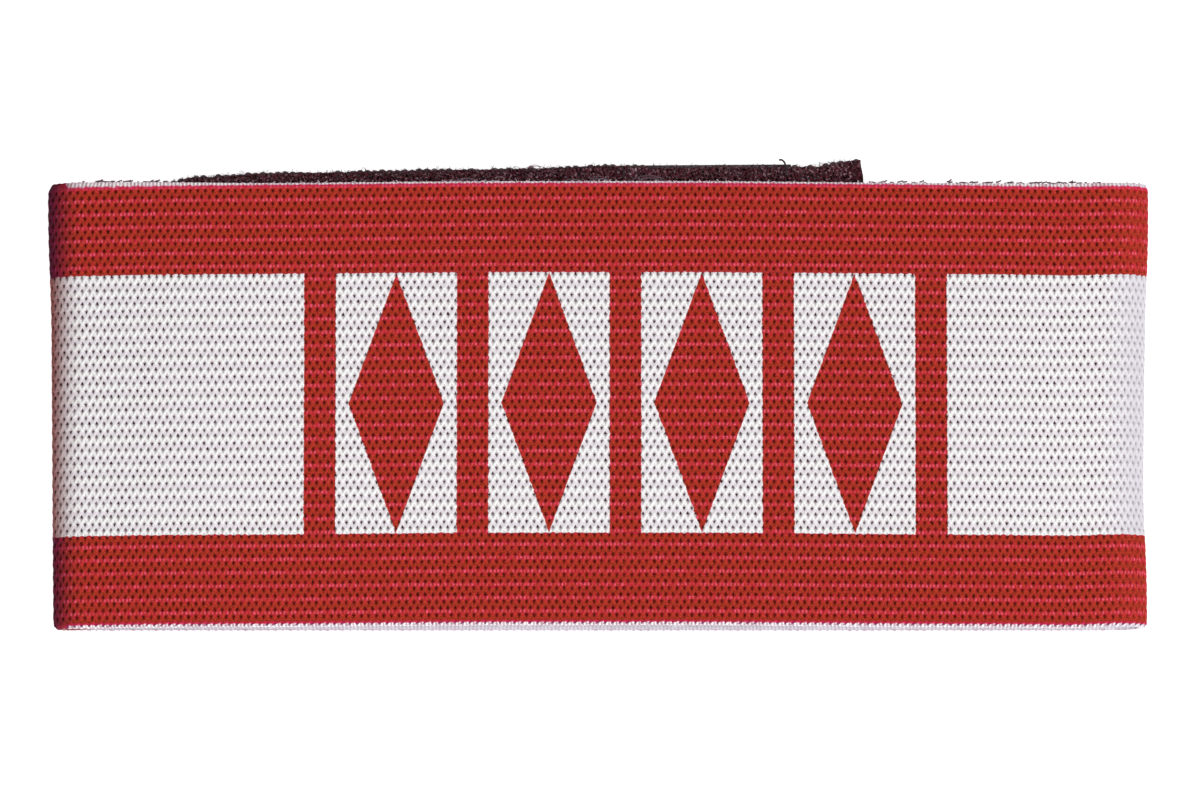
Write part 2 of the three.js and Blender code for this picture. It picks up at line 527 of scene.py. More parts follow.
class Graph:
    """Adds nodes to one material, and links them as they are made."""

    def __init__(self, name: str) -> None:
        """Start a material.

        Args:
            name: The material's name.
        """
        self.material = bpy.data.materials.new(name)
        self.material.use_nodes = True
        self.tree = self.material.node_tree
        self.tree.nodes.clear()

    def node(self, kind: str, **settings: object) -> bpy.types.Node:
        """Add a node with these settings."""
        made = self.tree.nodes.new(kind)
        for key, value in settings.items():
            setattr(made, key, value)
        return made

    def feed(self, socket: Socket, value: object) -> None:
        """Link a socket to an input, or set the input to a plain value."""
        if isinstance(value, bpy.types.NodeSocket):
            self.tree.links.new(value, socket)
        else:
            socket.default_value = value

    def maths(self, operation: str, *values: object, clamp: bool = False) -> Socket:
        """Add a Math node and return its result."""
        made = self.node("ShaderNodeMath", operation=operation, use_clamp=clamp)
        for socket, value in zip(made.inputs, values):
            self.feed(socket, value)
        return made.outputs[0]

    def add(self, *values: object) -> Socket:
        """The sum of several values."""
        total = values[0]
        for value in values[1:]:
            total = self.maths("ADD", total, value)
        return total

    def times(self, *values: object) -> Socket:
        """The product of several values."""
        total = values[0]
        for value in values[1:]:
            total = self.maths("MULTIPLY", total, value)
        return total

    def minus(self, first: object, second: object) -> Socket:
        """The first value less the second."""
        return self.maths("SUBTRACT", first, second)

    def wrapped(self, value: object) -> Socket:
        """The distance from the nearest whole number, from -0.5 to 0.5."""
        return self.maths("WRAP", value, 0.5, -0.5)

    def bell(self, value: object, width: float) -> Socket:
        """A bell curve, 1 where the value is 0."""
        scaled = self.maths("DIVIDE", value, width)
        return self.maths("EXPONENT", self.times(scaled, scaled, -1.0))

    def ease(self, value: object, low: float, high: float) -> Socket:
        """Ease from 0 at low to 1 at high."""
        made = self.node("ShaderNodeMapRange", interpolation_type="SMOOTHSTEP")
        for key, number in (("Value", value), ("From Min", low), ("From Max", high)):
            self.feed(made.inputs[key], number)
        return made.outputs[0]

    def between(self, value: object, rise: tuple[float, float], fall: tuple[float, float]) -> Socket:
        """1 between two places, each given as the stretch over which it comes or goes."""
        return self.times(self.ease(value, *rise), self.minus(1.0, self.ease(value, *fall)))

    def blend(self, factor: object, first: object, second: object, way: str = "MIX") -> Socket:
        """Blend two colours.

        Args:
            factor: Share of the second colour.
            first: The first colour.
            second: The second colour.
            way: The blending mode.

        Returns:
            The blended colour.
        """
        made = self.node("ShaderNodeMix", data_type="RGBA", blend_type=way)
        self.feed(made.inputs["Factor"], factor)
        self.feed(made.inputs[6], first)
        self.feed(made.inputs[7], second)
        return made.outputs[2]

    def noise(self, vector: object, scale: float, detail: float = 2.0, rough: float = 0.5) -> Socket:
        """Soft noise from 0 to 1 at a scale, in waves a metre."""
        made = self.node("ShaderNodeTexNoise")
        self.feed(made.inputs["Vector"], vector)
        self.feed(made.inputs["Scale"], scale)
        self.feed(made.inputs["Detail"], detail)
        self.feed(made.inputs["Roughness"], rough)
        return made.outputs["Fac"]

    def speck(self, across: object, down: object) -> Socket:
        """A random number from 0 to 1 for each whole pair of numbers."""
        vector = self.vector(self.maths("FLOOR", across), self.maths("FLOOR", down))
        made = self.node("ShaderNodeTexWhiteNoise", noise_dimensions="2D")
        self.feed(made.inputs["Vector"], vector)
        return made.outputs["Value"]

    def vector(self, x: object, y: object, z: object = 0.0) -> Socket:
        """Join three numbers to a vector."""
        made = self.node("ShaderNodeCombineXYZ")
        for socket, value in zip(made.inputs, (x, y, z)):
            self.feed(socket, value)
        return made.outputs[0]

    def tape_map(self) -> tuple[Socket, Socket, Socket]:
        """The flat coordinates: the vector, along and across, in metres."""
        layer = self.node("ShaderNodeUVMap", uv_map="tape")
        parts = self.node("ShaderNodeSeparateXYZ")
        self.feed(parts.inputs[0], layer.outputs[0])
        return layer.outputs[0], parts.outputs[0], parts.outputs[1]

    def object_map(self) -> Socket:
        """The piece's own coordinates, in metres."""
        return self.node("ShaderNodeTexCoord").outputs["Object"]

    def bump(self, height: object, distance: float, strength: float = 1.0) -> Socket:
        """Bump from a height from 0 to 1, which distance metres make deep."""
        made = self.node("ShaderNodeBump")
        made.inputs["Strength"].default_value = strength
        made.inputs["Distance"].default_value = distance
        self.feed(made.inputs["Height"], height)
        return made.outputs[0]

    def finish(
        self, colour: object, roughness: object, normal: Socket, **plain: object
    ) -> bpy.types.Material:
        """Close the graph with the surface shader.

        Args:
            colour: Base colour.
            roughness: Roughness.
            normal: Bumped normal.
            **plain: Constant values of other inputs, with underscores for spaces.

        Returns:
            The finished material.
        """
        shader = self.node("ShaderNodeBsdfPrincipled")
        self.feed(shader.inputs["Base Color"], colour)
        self.feed(shader.inputs["Roughness"], roughness)
        self.feed(shader.inputs["Normal"], normal)
        for key, value in plain.items():
            shader.inputs[key.replace("_", " ")].default_value = value
        output = self.node("ShaderNodeOutputMaterial")
        self.tree.links.new(shader.outputs[0], output.inputs[0])
        return self.material


@dataclass(frozen=True)
class KnitShades:
    """What the shader knows of the knit at a point.

    A hole is dark at its tip and has a wide pale cap, and a groove leads to the cap. The band is the
    raised row between one pair of holes and the next, row its stitches, and speck a stitch's own
    number. Edge is 1 on the selvedge, which has no holes but loops, and rib tells those, from -1 to 1.
    """

    # The finishes paint shade with hole, cap and groove, and a highlight with band.
    hole: Socket
    cap: Socket
    groove: Socket
    band: Socket
    row: Socket
    speck: Socket
    edge: Socket
    rib: Socket

    @classmethod
    def on(cls, graph: Graph, knit: Knit, height: float) -> KnitShades:
        """Draw the knit's repeat from the tape's own map.

        Args:
            graph: The material's graph.
            knit: The knit.
            height: The tape's height.

        Returns:
            The shades.
        """
        flat, along, across = graph.tape_map()
        wander = graph.minus(graph.noise(flat, 900.0), 0.5)
        columns = graph.maths("DIVIDE", along, knit.along)
        u = graph.add(columns, -knit.first_column, graph.times(wander, 0.25))
        down = graph.maths("DIVIDE", graph.minus(height / 2, across), knit.across)
        v = graph.add(down, -knit.first_row, graph.times(wander, 0.1))
        upper = cls._hole(graph, graph.wrapped(u), graph.wrapped(v))
        low_u = graph.wrapped(graph.minus(u, knit.lower_hole[0]))
        low_v = graph.times(graph.wrapped(graph.minus(v, knit.lower_hole[1])), -1.0)
        lower = cls._hole(graph, low_u, low_v)
        from_edge = graph.minus(height / 2, graph.maths("ABSOLUTE", across))
        edge = graph.minus(1.0, graph.ease(from_edge, knit.selvedge - 0.3 * MM, knit.selvedge))
        knitted = graph.minus(1.0, edge)
        joined = (graph.maths("ADD", *pair, clamp=True) for pair in zip(upper, lower))
        hole, cap, groove = (graph.times(share, knitted) for share in joined)
        from_middle = graph.wrapped(graph.minus(v, (knit.lower_hole[1] + 1) / 2))
        dots = graph.add(graph.times(graph.maths("COSINE", graph.times(u, 2 * math.tau)), -0.6), 0.5)
        dots = graph.maths("MAXIMUM", dots, 0.0)
        return cls(
            hole=hole,
            cap=cap,
            groove=groove,
            band=graph.minus(1.0, graph.ease(graph.maths("ABSOLUTE", from_middle), 0.2, 0.4)),
            row=graph.times(graph.bell(from_middle, 0.12), dots),
            speck=graph.speck(graph.times(u, 2.0), graph.times(v, 2.0)),
            edge=edge,
            rib=graph.maths("COSINE", graph.times(u, 2 * math.tau)),
        )

    @staticmethod
    def _hole(graph: Graph, beside: Socket, below: Socket) -> tuple[Socket, Socket, Socket]:
        """One hole's tip, its cap and the groove above it, as Knit.hole shapes them."""
        width = graph.maths("MAXIMUM", graph.add(graph.times(below, -0.9), 0.135), 0.05)
        shape = graph.bell(beside, width)
        tip = graph.times(shape, graph.between(below, (-0.14, -0.03), (0.08, 0.17)))
        cap = graph.times(shape, graph.between(below, (-0.24, -0.13), (-0.07, -0.02)))
        groove = graph.times(graph.bell(beside, 0.13), graph.between(below, (-0.48, -0.26), (-0.18, -0.08)))
        return graph.times(tip, 1.7), cap, groove


@dataclass(frozen=True)
class Print:
    """The red print: a stripe along each edge, and a row of bars and lozenges between them."""

    stripe_inner: float = 20.55 * MM
    stripe_outer: float = 34.75 * MM
    middle: float = 4.3 * MM
    pitch: float = 24 * MM
    bar_width: float = 5 * MM
    lozenge_width: float = 15 * MM
    bars: int = 5
    tooth: float = 1.177 * MM
    narrower: float = 0.14 * MM
    lining: float = 0.5 * MM
    narrow_from: float = 45 * MM
    narrow_to: float = 72 * MM
    full_from: float = 83.5 * MM
    notch: float = 0.11 * MM
    slant: float = -0.8

    def mask(self, graph: Graph) -> tuple[Socket, Socket, Socket]:
        """Draw where the ink is, and the painted shade between the lower loops.

        Args:
            graph: The material's graph.

        Returns:
            The ink's cover, how near the stripes' edges a point is, and dark ticks of painted shade beyond
            the lower stripe, in the gaps between the loops of the selvedge.
        """
        flat, along, across = graph.tape_map()
        ragged = graph.times(graph.minus(graph.noise(flat, 1500.0, 3.0), 0.5), 0.55 * MM)
        teeth = graph.times(graph.maths("COSINE", graph.times(along, math.tau / self.tooth)), 0.05 * MM)
        height = graph.maths("ABSOLUTE", graph.add(across, ragged))
        soft = 0.06 * MM
        stripe = graph.ease(graph.add(height, teeth), self.stripe_inner - soft, self.stripe_inner + soft)
        from_middle = graph.add(along, ragged, -self.middle)
        beats = graph.maths("DIVIDE", from_middle, self.pitch)
        bar_off = graph.times(graph.maths("ABSOLUTE", graph.wrapped(beats)), self.pitch)
        bar = graph.minus(1.0, graph.ease(bar_off, self.bar_width / 2 - soft, self.bar_width / 2 + soft))
        half_beat = graph.wrapped(graph.add(beats, 0.5))
        side = graph.times(graph.maths("ABSOLUTE", half_beat), 2 * self.pitch / self.lozenge_width)
        rise = graph.maths("DIVIDE", height, self.stripe_inner)
        lozenge = graph.minus(1.0, graph.ease(graph.add(side, rise), 0.99, 1.01))
        reach = (self.bars - 1) / 2 * self.pitch + self.bar_width / 2 + 0.2 * MM
        inside = graph.maths("LESS_THAN", graph.maths("ABSOLUTE", from_middle), reach)
        figure = graph.times(graph.maths("MAXIMUM", bar, lozenge), inside)
        towards_end = graph.ease(graph.maths("ABSOLUTE", along), self.narrow_from, self.narrow_to)
        upper = graph.maths("GREATER_THAN", across, 0.0)
        lower = graph.minus(1.0, upper)
        on_fold = graph.ease(graph.times(along, -1.0), self.full_from, self.full_from + 1.5 * MM)
        height = graph.add(height, graph.times(towards_end, upper, self.narrower))
        height = graph.add(height, graph.times(on_fold, -1.5 * MM))
        slanted = graph.add(along, graph.times(across, self.slant), graph.times(ragged, 1.7))
        beat = graph.maths("COSINE", graph.times(slanted, math.tau / self.tooth))
        height = graph.add(height, graph.times(lower, graph.add(graph.times(beat, self.notch), self.notch)))
        height = graph.add(height, graph.times(lower, ragged, 0.6))
        off = graph.minus(height, self.stripe_outer)
        # Painted shade in the gaps between the lower selvedge's loops, just beyond the lower stripe.
        loop_gap_shade = graph.times(graph.bell(off, 0.24 * MM), lower, graph.ease(graph.times(beat, -1.0), 0.1, 0.8))
        edge = graph.ease(height, self.stripe_outer - 0.12 * MM, self.stripe_outer + 0.12 * MM)
        cover = graph.times(graph.maths("MAXIMUM", stripe, figure), graph.minus(1.0, edge))
        inner_rim = graph.minus(1.0, graph.ease(height, self.stripe_inner, self.stripe_inner + self.lining))
        inner_rim = graph.times(inner_rim, stripe, 0.4)
        outer_rim = graph.ease(height, self.stripe_outer - self.lining, self.stripe_outer - 0.15 * MM)
        return cover, graph.add(outer_rim, inner_rim), loop_gap_shade


@dataclass(frozen=True)
class ElasticFinish:
    """Matt white knitted elastic, with or without the red print."""

    white: tuple = ink(230, 223, 228)
    # Painted highlight on the raised rows of the knit.
    white_painted_highlight: tuple = ink(255, 255, 255)
    # Grey used as painted shade in the grooves and for the yarn's own fine grain.
    white_shade_and_grain: tuple = ink(170, 160, 162)
    lilac: tuple = ink(176, 140, 154)
    # Painted shade on the wide cap beside each hole.
    cap: tuple = ink(150, 118, 126)
    # Painted shade in the holes of the knit.
    hole: tuple = ink(46, 8, 20)
    # Painted shade: a brown red that darkens the white towards the left fold's edge, where the fold turns
    # from the light.
    left_fold_painted_shade: tuple = ink(124, 36, 26)
    # Painted shade: a greyer white laid on the right fold to set its tone under the light.
    right_fold_painted_shade: tuple = ink(204, 199, 210)
    red: tuple = ink(196, 58, 45)
    # Darker red used as painted shade in the grooves and for the fine grain.
    red_shade_and_grain: tuple = ink(126, 46, 17)
    # Painted shade in and round the holes of the red.
    red_painted_pit_shade: tuple = ink(60, 10, 2)
    pink: tuple = ink(240, 90, 120)
    rim: tuple = ink(206, 30, 96)
    crimson: tuple = ink(190, 28, 52)
    # Painted shade on the red of the left fold.
    red_left_fold_shade: tuple = ink(46, 6, 46)
    # Painted shade in the gaps between the loops below the lower stripe.
    loop_gap_shade: tuple = ink(84, 30, 84)
    # Where the left fold's painted shade begins and where it is full.
    left_fold: tuple[float, float] = (-80 * MM, -87 * MM)
    right_fold: tuple[float, float] = (78 * MM, 86 * MM)
    roughness: float = 0.85

    def make(self, name: str, knit: Knit, height: float, printed: Print | None) -> bpy.types.Material:
        """Make the material.

        Args:
            name: The material's name.
            knit: The knit's repeat.
            height: The tape's height.
            printed: The print, or None for the white inner face.

        Returns:
            The material.
        """
        graph = Graph(name)
        shades = KnitShades.on(graph, knit, height)
        flat, along, _ = graph.tape_map()
        fibre = graph.noise(flat, 4200.0, 4.0, 0.65)
        grain = graph.ease(fibre, 0.38, 0.62)
        strength = graph.add(graph.times(shades.speck, 0.32), 0.72)
        # On the right fold the holes' painted shade is weaker and the white is laid over with a painted
        # shade.
        right = graph.ease(along, *self.right_fold)
        strength = graph.times(strength, graph.minus(1.0, graph.times(right, 0.6)))
        # The holes' tips and caps carry painted shade, of a depth that varies from stitch to stitch.
        hole = graph.times(shades.hole, strength)
        cap = graph.times(shades.cap, strength)
        # Painted highlight on the raised rows, varied by the grain.
        lit = graph.times(shades.band, graph.add(graph.times(grain, 0.6), 0.7))
        white = graph.blend(graph.maths("MINIMUM", lit, 1.0), self.white, self.white_painted_highlight)
        # Painted shade in the grooves.
        white = graph.blend(graph.times(shades.groove, 0.66), white, self.white_shade_and_grain)
        uneven = graph.add(graph.times(graph.noise(flat, 700.0), 1.4), -0.2)
        looped = graph.add(graph.times(shades.rib, 0.48), uneven)
        white = graph.blend(graph.maths("MULTIPLY", shades.edge, looped, clamp=True), white, self.lilac)
        # The yarn's own fine grain.
        white = graph.blend(graph.times(graph.minus(1.0, grain), 0.14), white, self.white_shade_and_grain)
        # Painted shade on the left fold, darker towards its edge, on the white here and on the red below.
        fold = graph.ease(graph.times(along, -1.0), -self.left_fold[0], -self.left_fold[1])
        fold = graph.maths("POWER", fold, 1.5)
        white = graph.blend(graph.times(fold, 0.94), white, self.left_fold_painted_shade)
        # Painted shade on the right fold.
        white = graph.blend(graph.times(right, 0.7), white, self.right_fold_painted_shade)
        # Painted shade on the caps and in the holes.
        white = graph.blend(graph.times(cap, 0.75), white, self.cap)
        colour = graph.blend(hole, white, self.hole)
        if printed is not None:
            cover, rim, loop_gap_shade = printed.mask(graph)
            red = self._red(graph, shades, grain, rim)
            # Painted shade on the red of the left fold.
            red = graph.blend(graph.times(fold, 0.88), red, self.red_left_fold_shade)
            # Painted shade on the caps and in the holes of the red.
            red = graph.blend(graph.times(cap, 0.8), red, self.red_painted_pit_shade)
            red = graph.blend(graph.times(hole, 0.95), red, self.red_painted_pit_shade)
            colour = graph.blend(cover, colour, red)
            # Painted shade between the lower loops.
            colour = graph.blend(graph.times(loop_gap_shade, 0.8), colour, self.loop_gap_shade)
        depth = graph.add(
            graph.times(shades.hole, -0.5),
            graph.times(shades.cap, -0.5),
            graph.times(shades.groove, -0.3),
            graph.times(shades.band, 0.3),
            graph.times(fibre, 0.5),
        )
        normal = graph.bump(depth, 0.14 * MM, 0.7)
        return graph.finish(colour, self.roughness, normal, Specular_IOR_Level=0.06)

    def _red(self, graph: Graph, shades: KnitShades, grain: Socket, rim: Socket) -> Socket:
        """The red ink: brown with the grain and with painted shade in the low places, pink on the raised
        row, which a painted highlight lightens, and magenta along the selvedge.

        Args:
            graph: The material's graph.
            shades: The knit's shades.
            grain: Fine noise, from 0 to 1.
            rim: How near the stripes' edges a point is.

        Returns:
            The colour.
        """
        dull = graph.times(graph.minus(1.0, grain), 0.9)
        # Painted shade in the grooves and the grain's own tone darken the red; a painted highlight lightens
        # the raised row.
        low = graph.add(dull, graph.times(shades.groove, 0.75), graph.times(shades.band, -0.5), 0.15)
        red = graph.blend(graph.maths("ADD", low, 0.0, clamp=True), self.red, self.red_shade_and_grain)
        crimson = graph.ease(graph.noise(graph.tape_map()[0], 2600.0, 3.0), 0.45, 0.62)
        crimson = graph.times(crimson, graph.add(graph.times(shades.band, 0.6), 0.3))
        red = graph.blend(crimson, red, self.crimson)
        odd = graph.ease(shades.speck, 0.2, 0.9)
        bright = graph.times(shades.row, graph.add(graph.times(odd, 0.9), 0.25), graph.add(grain, 0.3))
        red = graph.blend(graph.maths("MINIMUM", bright, 1.0), red, self.pink)
        return graph.blend(graph.times(rim, graph.add(graph.times(grain, 0.5), 0.3)), red, self.rim)


@dataclass(frozen=True)
class DarkClothFinish:
    """Black-brown knitted elastic or pile, fuzzy, with paler hairs."""

    dark: tuple = ink(12, 3, 5)
    middle: tuple = ink(126, 66, 76)
    pale: tuple = ink(224, 184, 196)
    rib: float = 1.177 * MM
    slant: float = 1.5 * MM
    bump: float = 0.3 * MM

    def make(self, name: str) -> bpy.types.Material:
        """Make the material.

        Args:
            name: The material's name.

        Returns:
            The material.
        """
        graph = Graph(name)
        place = graph.object_map()
        fluff = graph.ease(graph.noise(place, 2900.0, 3.0, 0.6), 0.41, 0.6)
        tuft = graph.noise(place, 700.0, 2.0)
        _, along, across = graph.tape_map()
        ribs = graph.maths("DIVIDE", along, self.rib)
        strands = graph.times(graph.add(ribs, graph.times(tuft, 1.4)), 2.0)
        slanted = graph.add(strands, graph.maths("DIVIDE", across, self.slant))
        strand = graph.bell(graph.wrapped(slanted), 0.24)
        level = graph.add(
            graph.times(fluff, 0.75), graph.times(strand, 0.45), graph.times(tuft, 0.5), -0.38
        )
        colour = graph.blend(graph.maths("ADD", level, 0.0, clamp=True), self.dark, self.middle)
        hair = graph.ease(graph.noise(place, 2300.0, 5.0, 0.75), 0.54, 0.64)
        colour = graph.blend(graph.times(hair, 0.8), colour, self.pale)
        height = graph.add(fluff, graph.times(strand, 0.8))
        return graph.finish(colour, 0.95, graph.bump(height, self.bump, 0.8), Specular_IOR_Level=0.04)


@dataclass(frozen=True)
class WovenFinish:
    """Tightly woven black tape, a little shiny."""

    dark: tuple = ink(30, 18, 24)
    pale: tuple = ink(78, 56, 64)
    warp: float = 0.5 * MM
    weft: float = 0.6 * MM

    def make(self, name: str) -> bpy.types.Material:
        """Make the material.

        Args:
            name: The material's name.

        Returns:
            The material.
        """
        graph = Graph(name)
        flat, along, across = graph.tape_map()
        warp = graph.maths("COSINE", graph.times(along, math.pi / self.warp))
        weft = graph.maths("COSINE", graph.times(across, math.pi / self.weft))
        weave = graph.add(graph.times(warp, weft, 0.5), 0.5)
        grain = graph.noise(flat, 4000.0, 3.0)
        level = graph.maths("ADD", graph.times(weave, 0.6), graph.times(grain, 0.5), clamp=True)
        colour = graph.blend(level, self.dark, self.pale)
        return graph.finish(colour, 0.6, graph.bump(level, 0.1 * MM, 0.7))


@dataclass(frozen=True)
class ThreadFinish:
    """Plain yarn or thread of one colour, with fine twist."""

    colour: tuple
    low: tuple
    sheen: float = 0.2

    def make(self, name: str) -> bpy.types.Material:
        """Make the material.

        Args:
            name: The material's name.

        Returns:
            The material.
        """
        graph = Graph(name)
        fibre = graph.noise(graph.object_map(), 6000.0, 3.0)
        colour = graph.blend(graph.ease(fibre, 0.35, 0.65), self.low, self.colour)
        return graph.finish(colour, 0.8, graph.bump(fibre, 0.05 * MM, 0.5), Sheen_Weight=self.sheen)


# Yarns and threads


@dataclass(frozen=True)
class EdgeLoops:
    """Loops of yarn that the knit leaves along an edge."""

    pitch: float
    rise: float
    yarn: float
    uneven: float = 0.35
    sides: int = 4
    steps: int = 5

    def place(self, middle: Vector, side: int, index: float, turn: float = 0.0) -> Matrix:
        """Where one loop goes.

        Args:
            middle: The middle of its foot.
            side: 1 where it stands out upwards, -1 downwards.
            index: Its number, which makes it a little different from its neighbours.
            turn: How far the edge is turned there, in radians.

        Returns:
            The loop's matrix.
        """
        odd = float(scatter(np.array([index]), 3.0)[0])
        place = Matrix.Translation(middle - Vector((0, side * self.yarn, 0)))
        place @= Matrix.Rotation(turn + 0.12 * odd, 4, "Z") @ Matrix.Rotation(0.3 * odd, 4, "X")
        return place @ Matrix.Diagonal((1, side * (1 + self.uneven * odd), 1, 1))

    def row(self, name: str, places: Sequence[Matrix]) -> bpy.types.Mesh:
        """Join loops at these places to one mesh."""
        return repeat(self._template(), places, name)

    def _template(self) -> bpy.types.Mesh:
        """One loop: half a ring of yarn, flattened to its rise."""
        bm = bmesh.new()
        radius = self.pitch / 2 - self.yarn * 0.7
        ring = bmesh.ops.create_circle(bm, segments=self.sides, radius=self.yarn, cap_ends=True)["verts"]
        bmesh.ops.rotate(bm, verts=ring, cent=(0, 0, 0), matrix=Matrix.Rotation(math.pi / 2, 3, "X"))
        bmesh.ops.translate(bm, verts=ring, vec=(-radius, 0, 0))
        bmesh.ops.spin(
            bm,
            geom=bm.verts[:] + bm.edges[:] + bm.faces[:],
            cent=(0, 0, 0),
            axis=(0, 0, -1),
            angle=math.pi,
            steps=self.steps,
        )
        bmesh.ops.scale(bm, vec=(1, self.rise / radius, 1), verts=bm.verts[:])
        return to_mesh(bm, "edge_loop")


@dataclass(frozen=True)
class Fibres:
    """Fine loose fibres, each a curved tube, joined to one mesh."""

    thickness: float

    def build(self, name: str, paths: Sequence[Sequence[Vector]]) -> bpy.types.Object:
        """Build the fibres.

        Args:
            name: The piece's name.
            paths: The points that each fibre follows.

        Returns:
            The piece.
        """
        curve = bpy.data.curves.new(name, "CURVE")
        curve.dimensions = "3D"
        curve.bevel_depth = self.thickness / 2
        curve.bevel_resolution = 0
        curve.use_fill_caps = True
        for path in paths:
            spline = curve.splines.new("POLY")
            spline.points.add(len(path) - 1)
            for point, place in zip(spline.points, path):
                point.co = (*place, 1)
        strand = bpy.data.objects.new(name, curve)
        mesh = bpy.data.meshes.new_from_object(strand)
        bpy.data.objects.remove(strand)
        bpy.data.curves.remove(curve)
        return to_object(mesh, name)

    @staticmethod
    def curl(foot: Vector, heading: Vector, length: float, bend: float, steps: int = 6) -> list[Vector]:
        """The path of one curled fibre.

        Args:
            foot: Where it leaves the cloth.
            heading: The way it sets out.
            length: Its length.
            bend: How far it turns over its length, in radians.
            steps: How many stretches it has.

        Returns:
            The points of its path.
        """
        path = [foot]
        way = heading.normalized() * (length / steps)
        for step in range(steps):
            path.append(path[-1] + way)
            way.rotate(Matrix.Rotation(bend / steps * (0.5 + step / steps), 3, "Z"))
        return path


@dataclass(frozen=True)
class Stitching:
    """Rows of lockstitches, each stitch a short swollen dash of thread."""

    pitch: float = 2.4 * MM
    length: float = 1.9 * MM
    width: float = 0.34 * MM
    rise: float = 0.2 * MM

    def seam(self, name: str, lines: Sequence[tuple[Vector, Vector]]) -> bpy.types.Object:
        """Sew along straight lines.

        Args:
            name: The piece's name.
            lines: Both ends of each line.

        Returns:
            The piece.
        """
        bm = bmesh.new()
        bmesh.ops.create_uvsphere(bm, u_segments=6, v_segments=5, radius=0.5)
        template = to_mesh(bm, "stitch")
        size = Matrix.Diagonal((self.length, self.width, self.rise, 1))
        places = []
        for first, last in lines:
            along = last - first
            count = max(1, round(along.length / self.pitch))
            turn = Matrix.Rotation(math.atan2(along.y, along.x), 4, "Z")
            for index in range(count):
                middle = first + along * ((index + 0.5) / count)
                places.append(Matrix.Translation(middle) @ turn @ size)
        return to_object(repeat(template, places, name), name)


# The band


@dataclass(frozen=True)
class Stretch:
    """A stretch of the strip that is one piece of the scene, between two places along it."""

    name: str
    start: float
    end: float
    inner_per_repeat: tuple[int, int]
    finer: tuple[int, int]


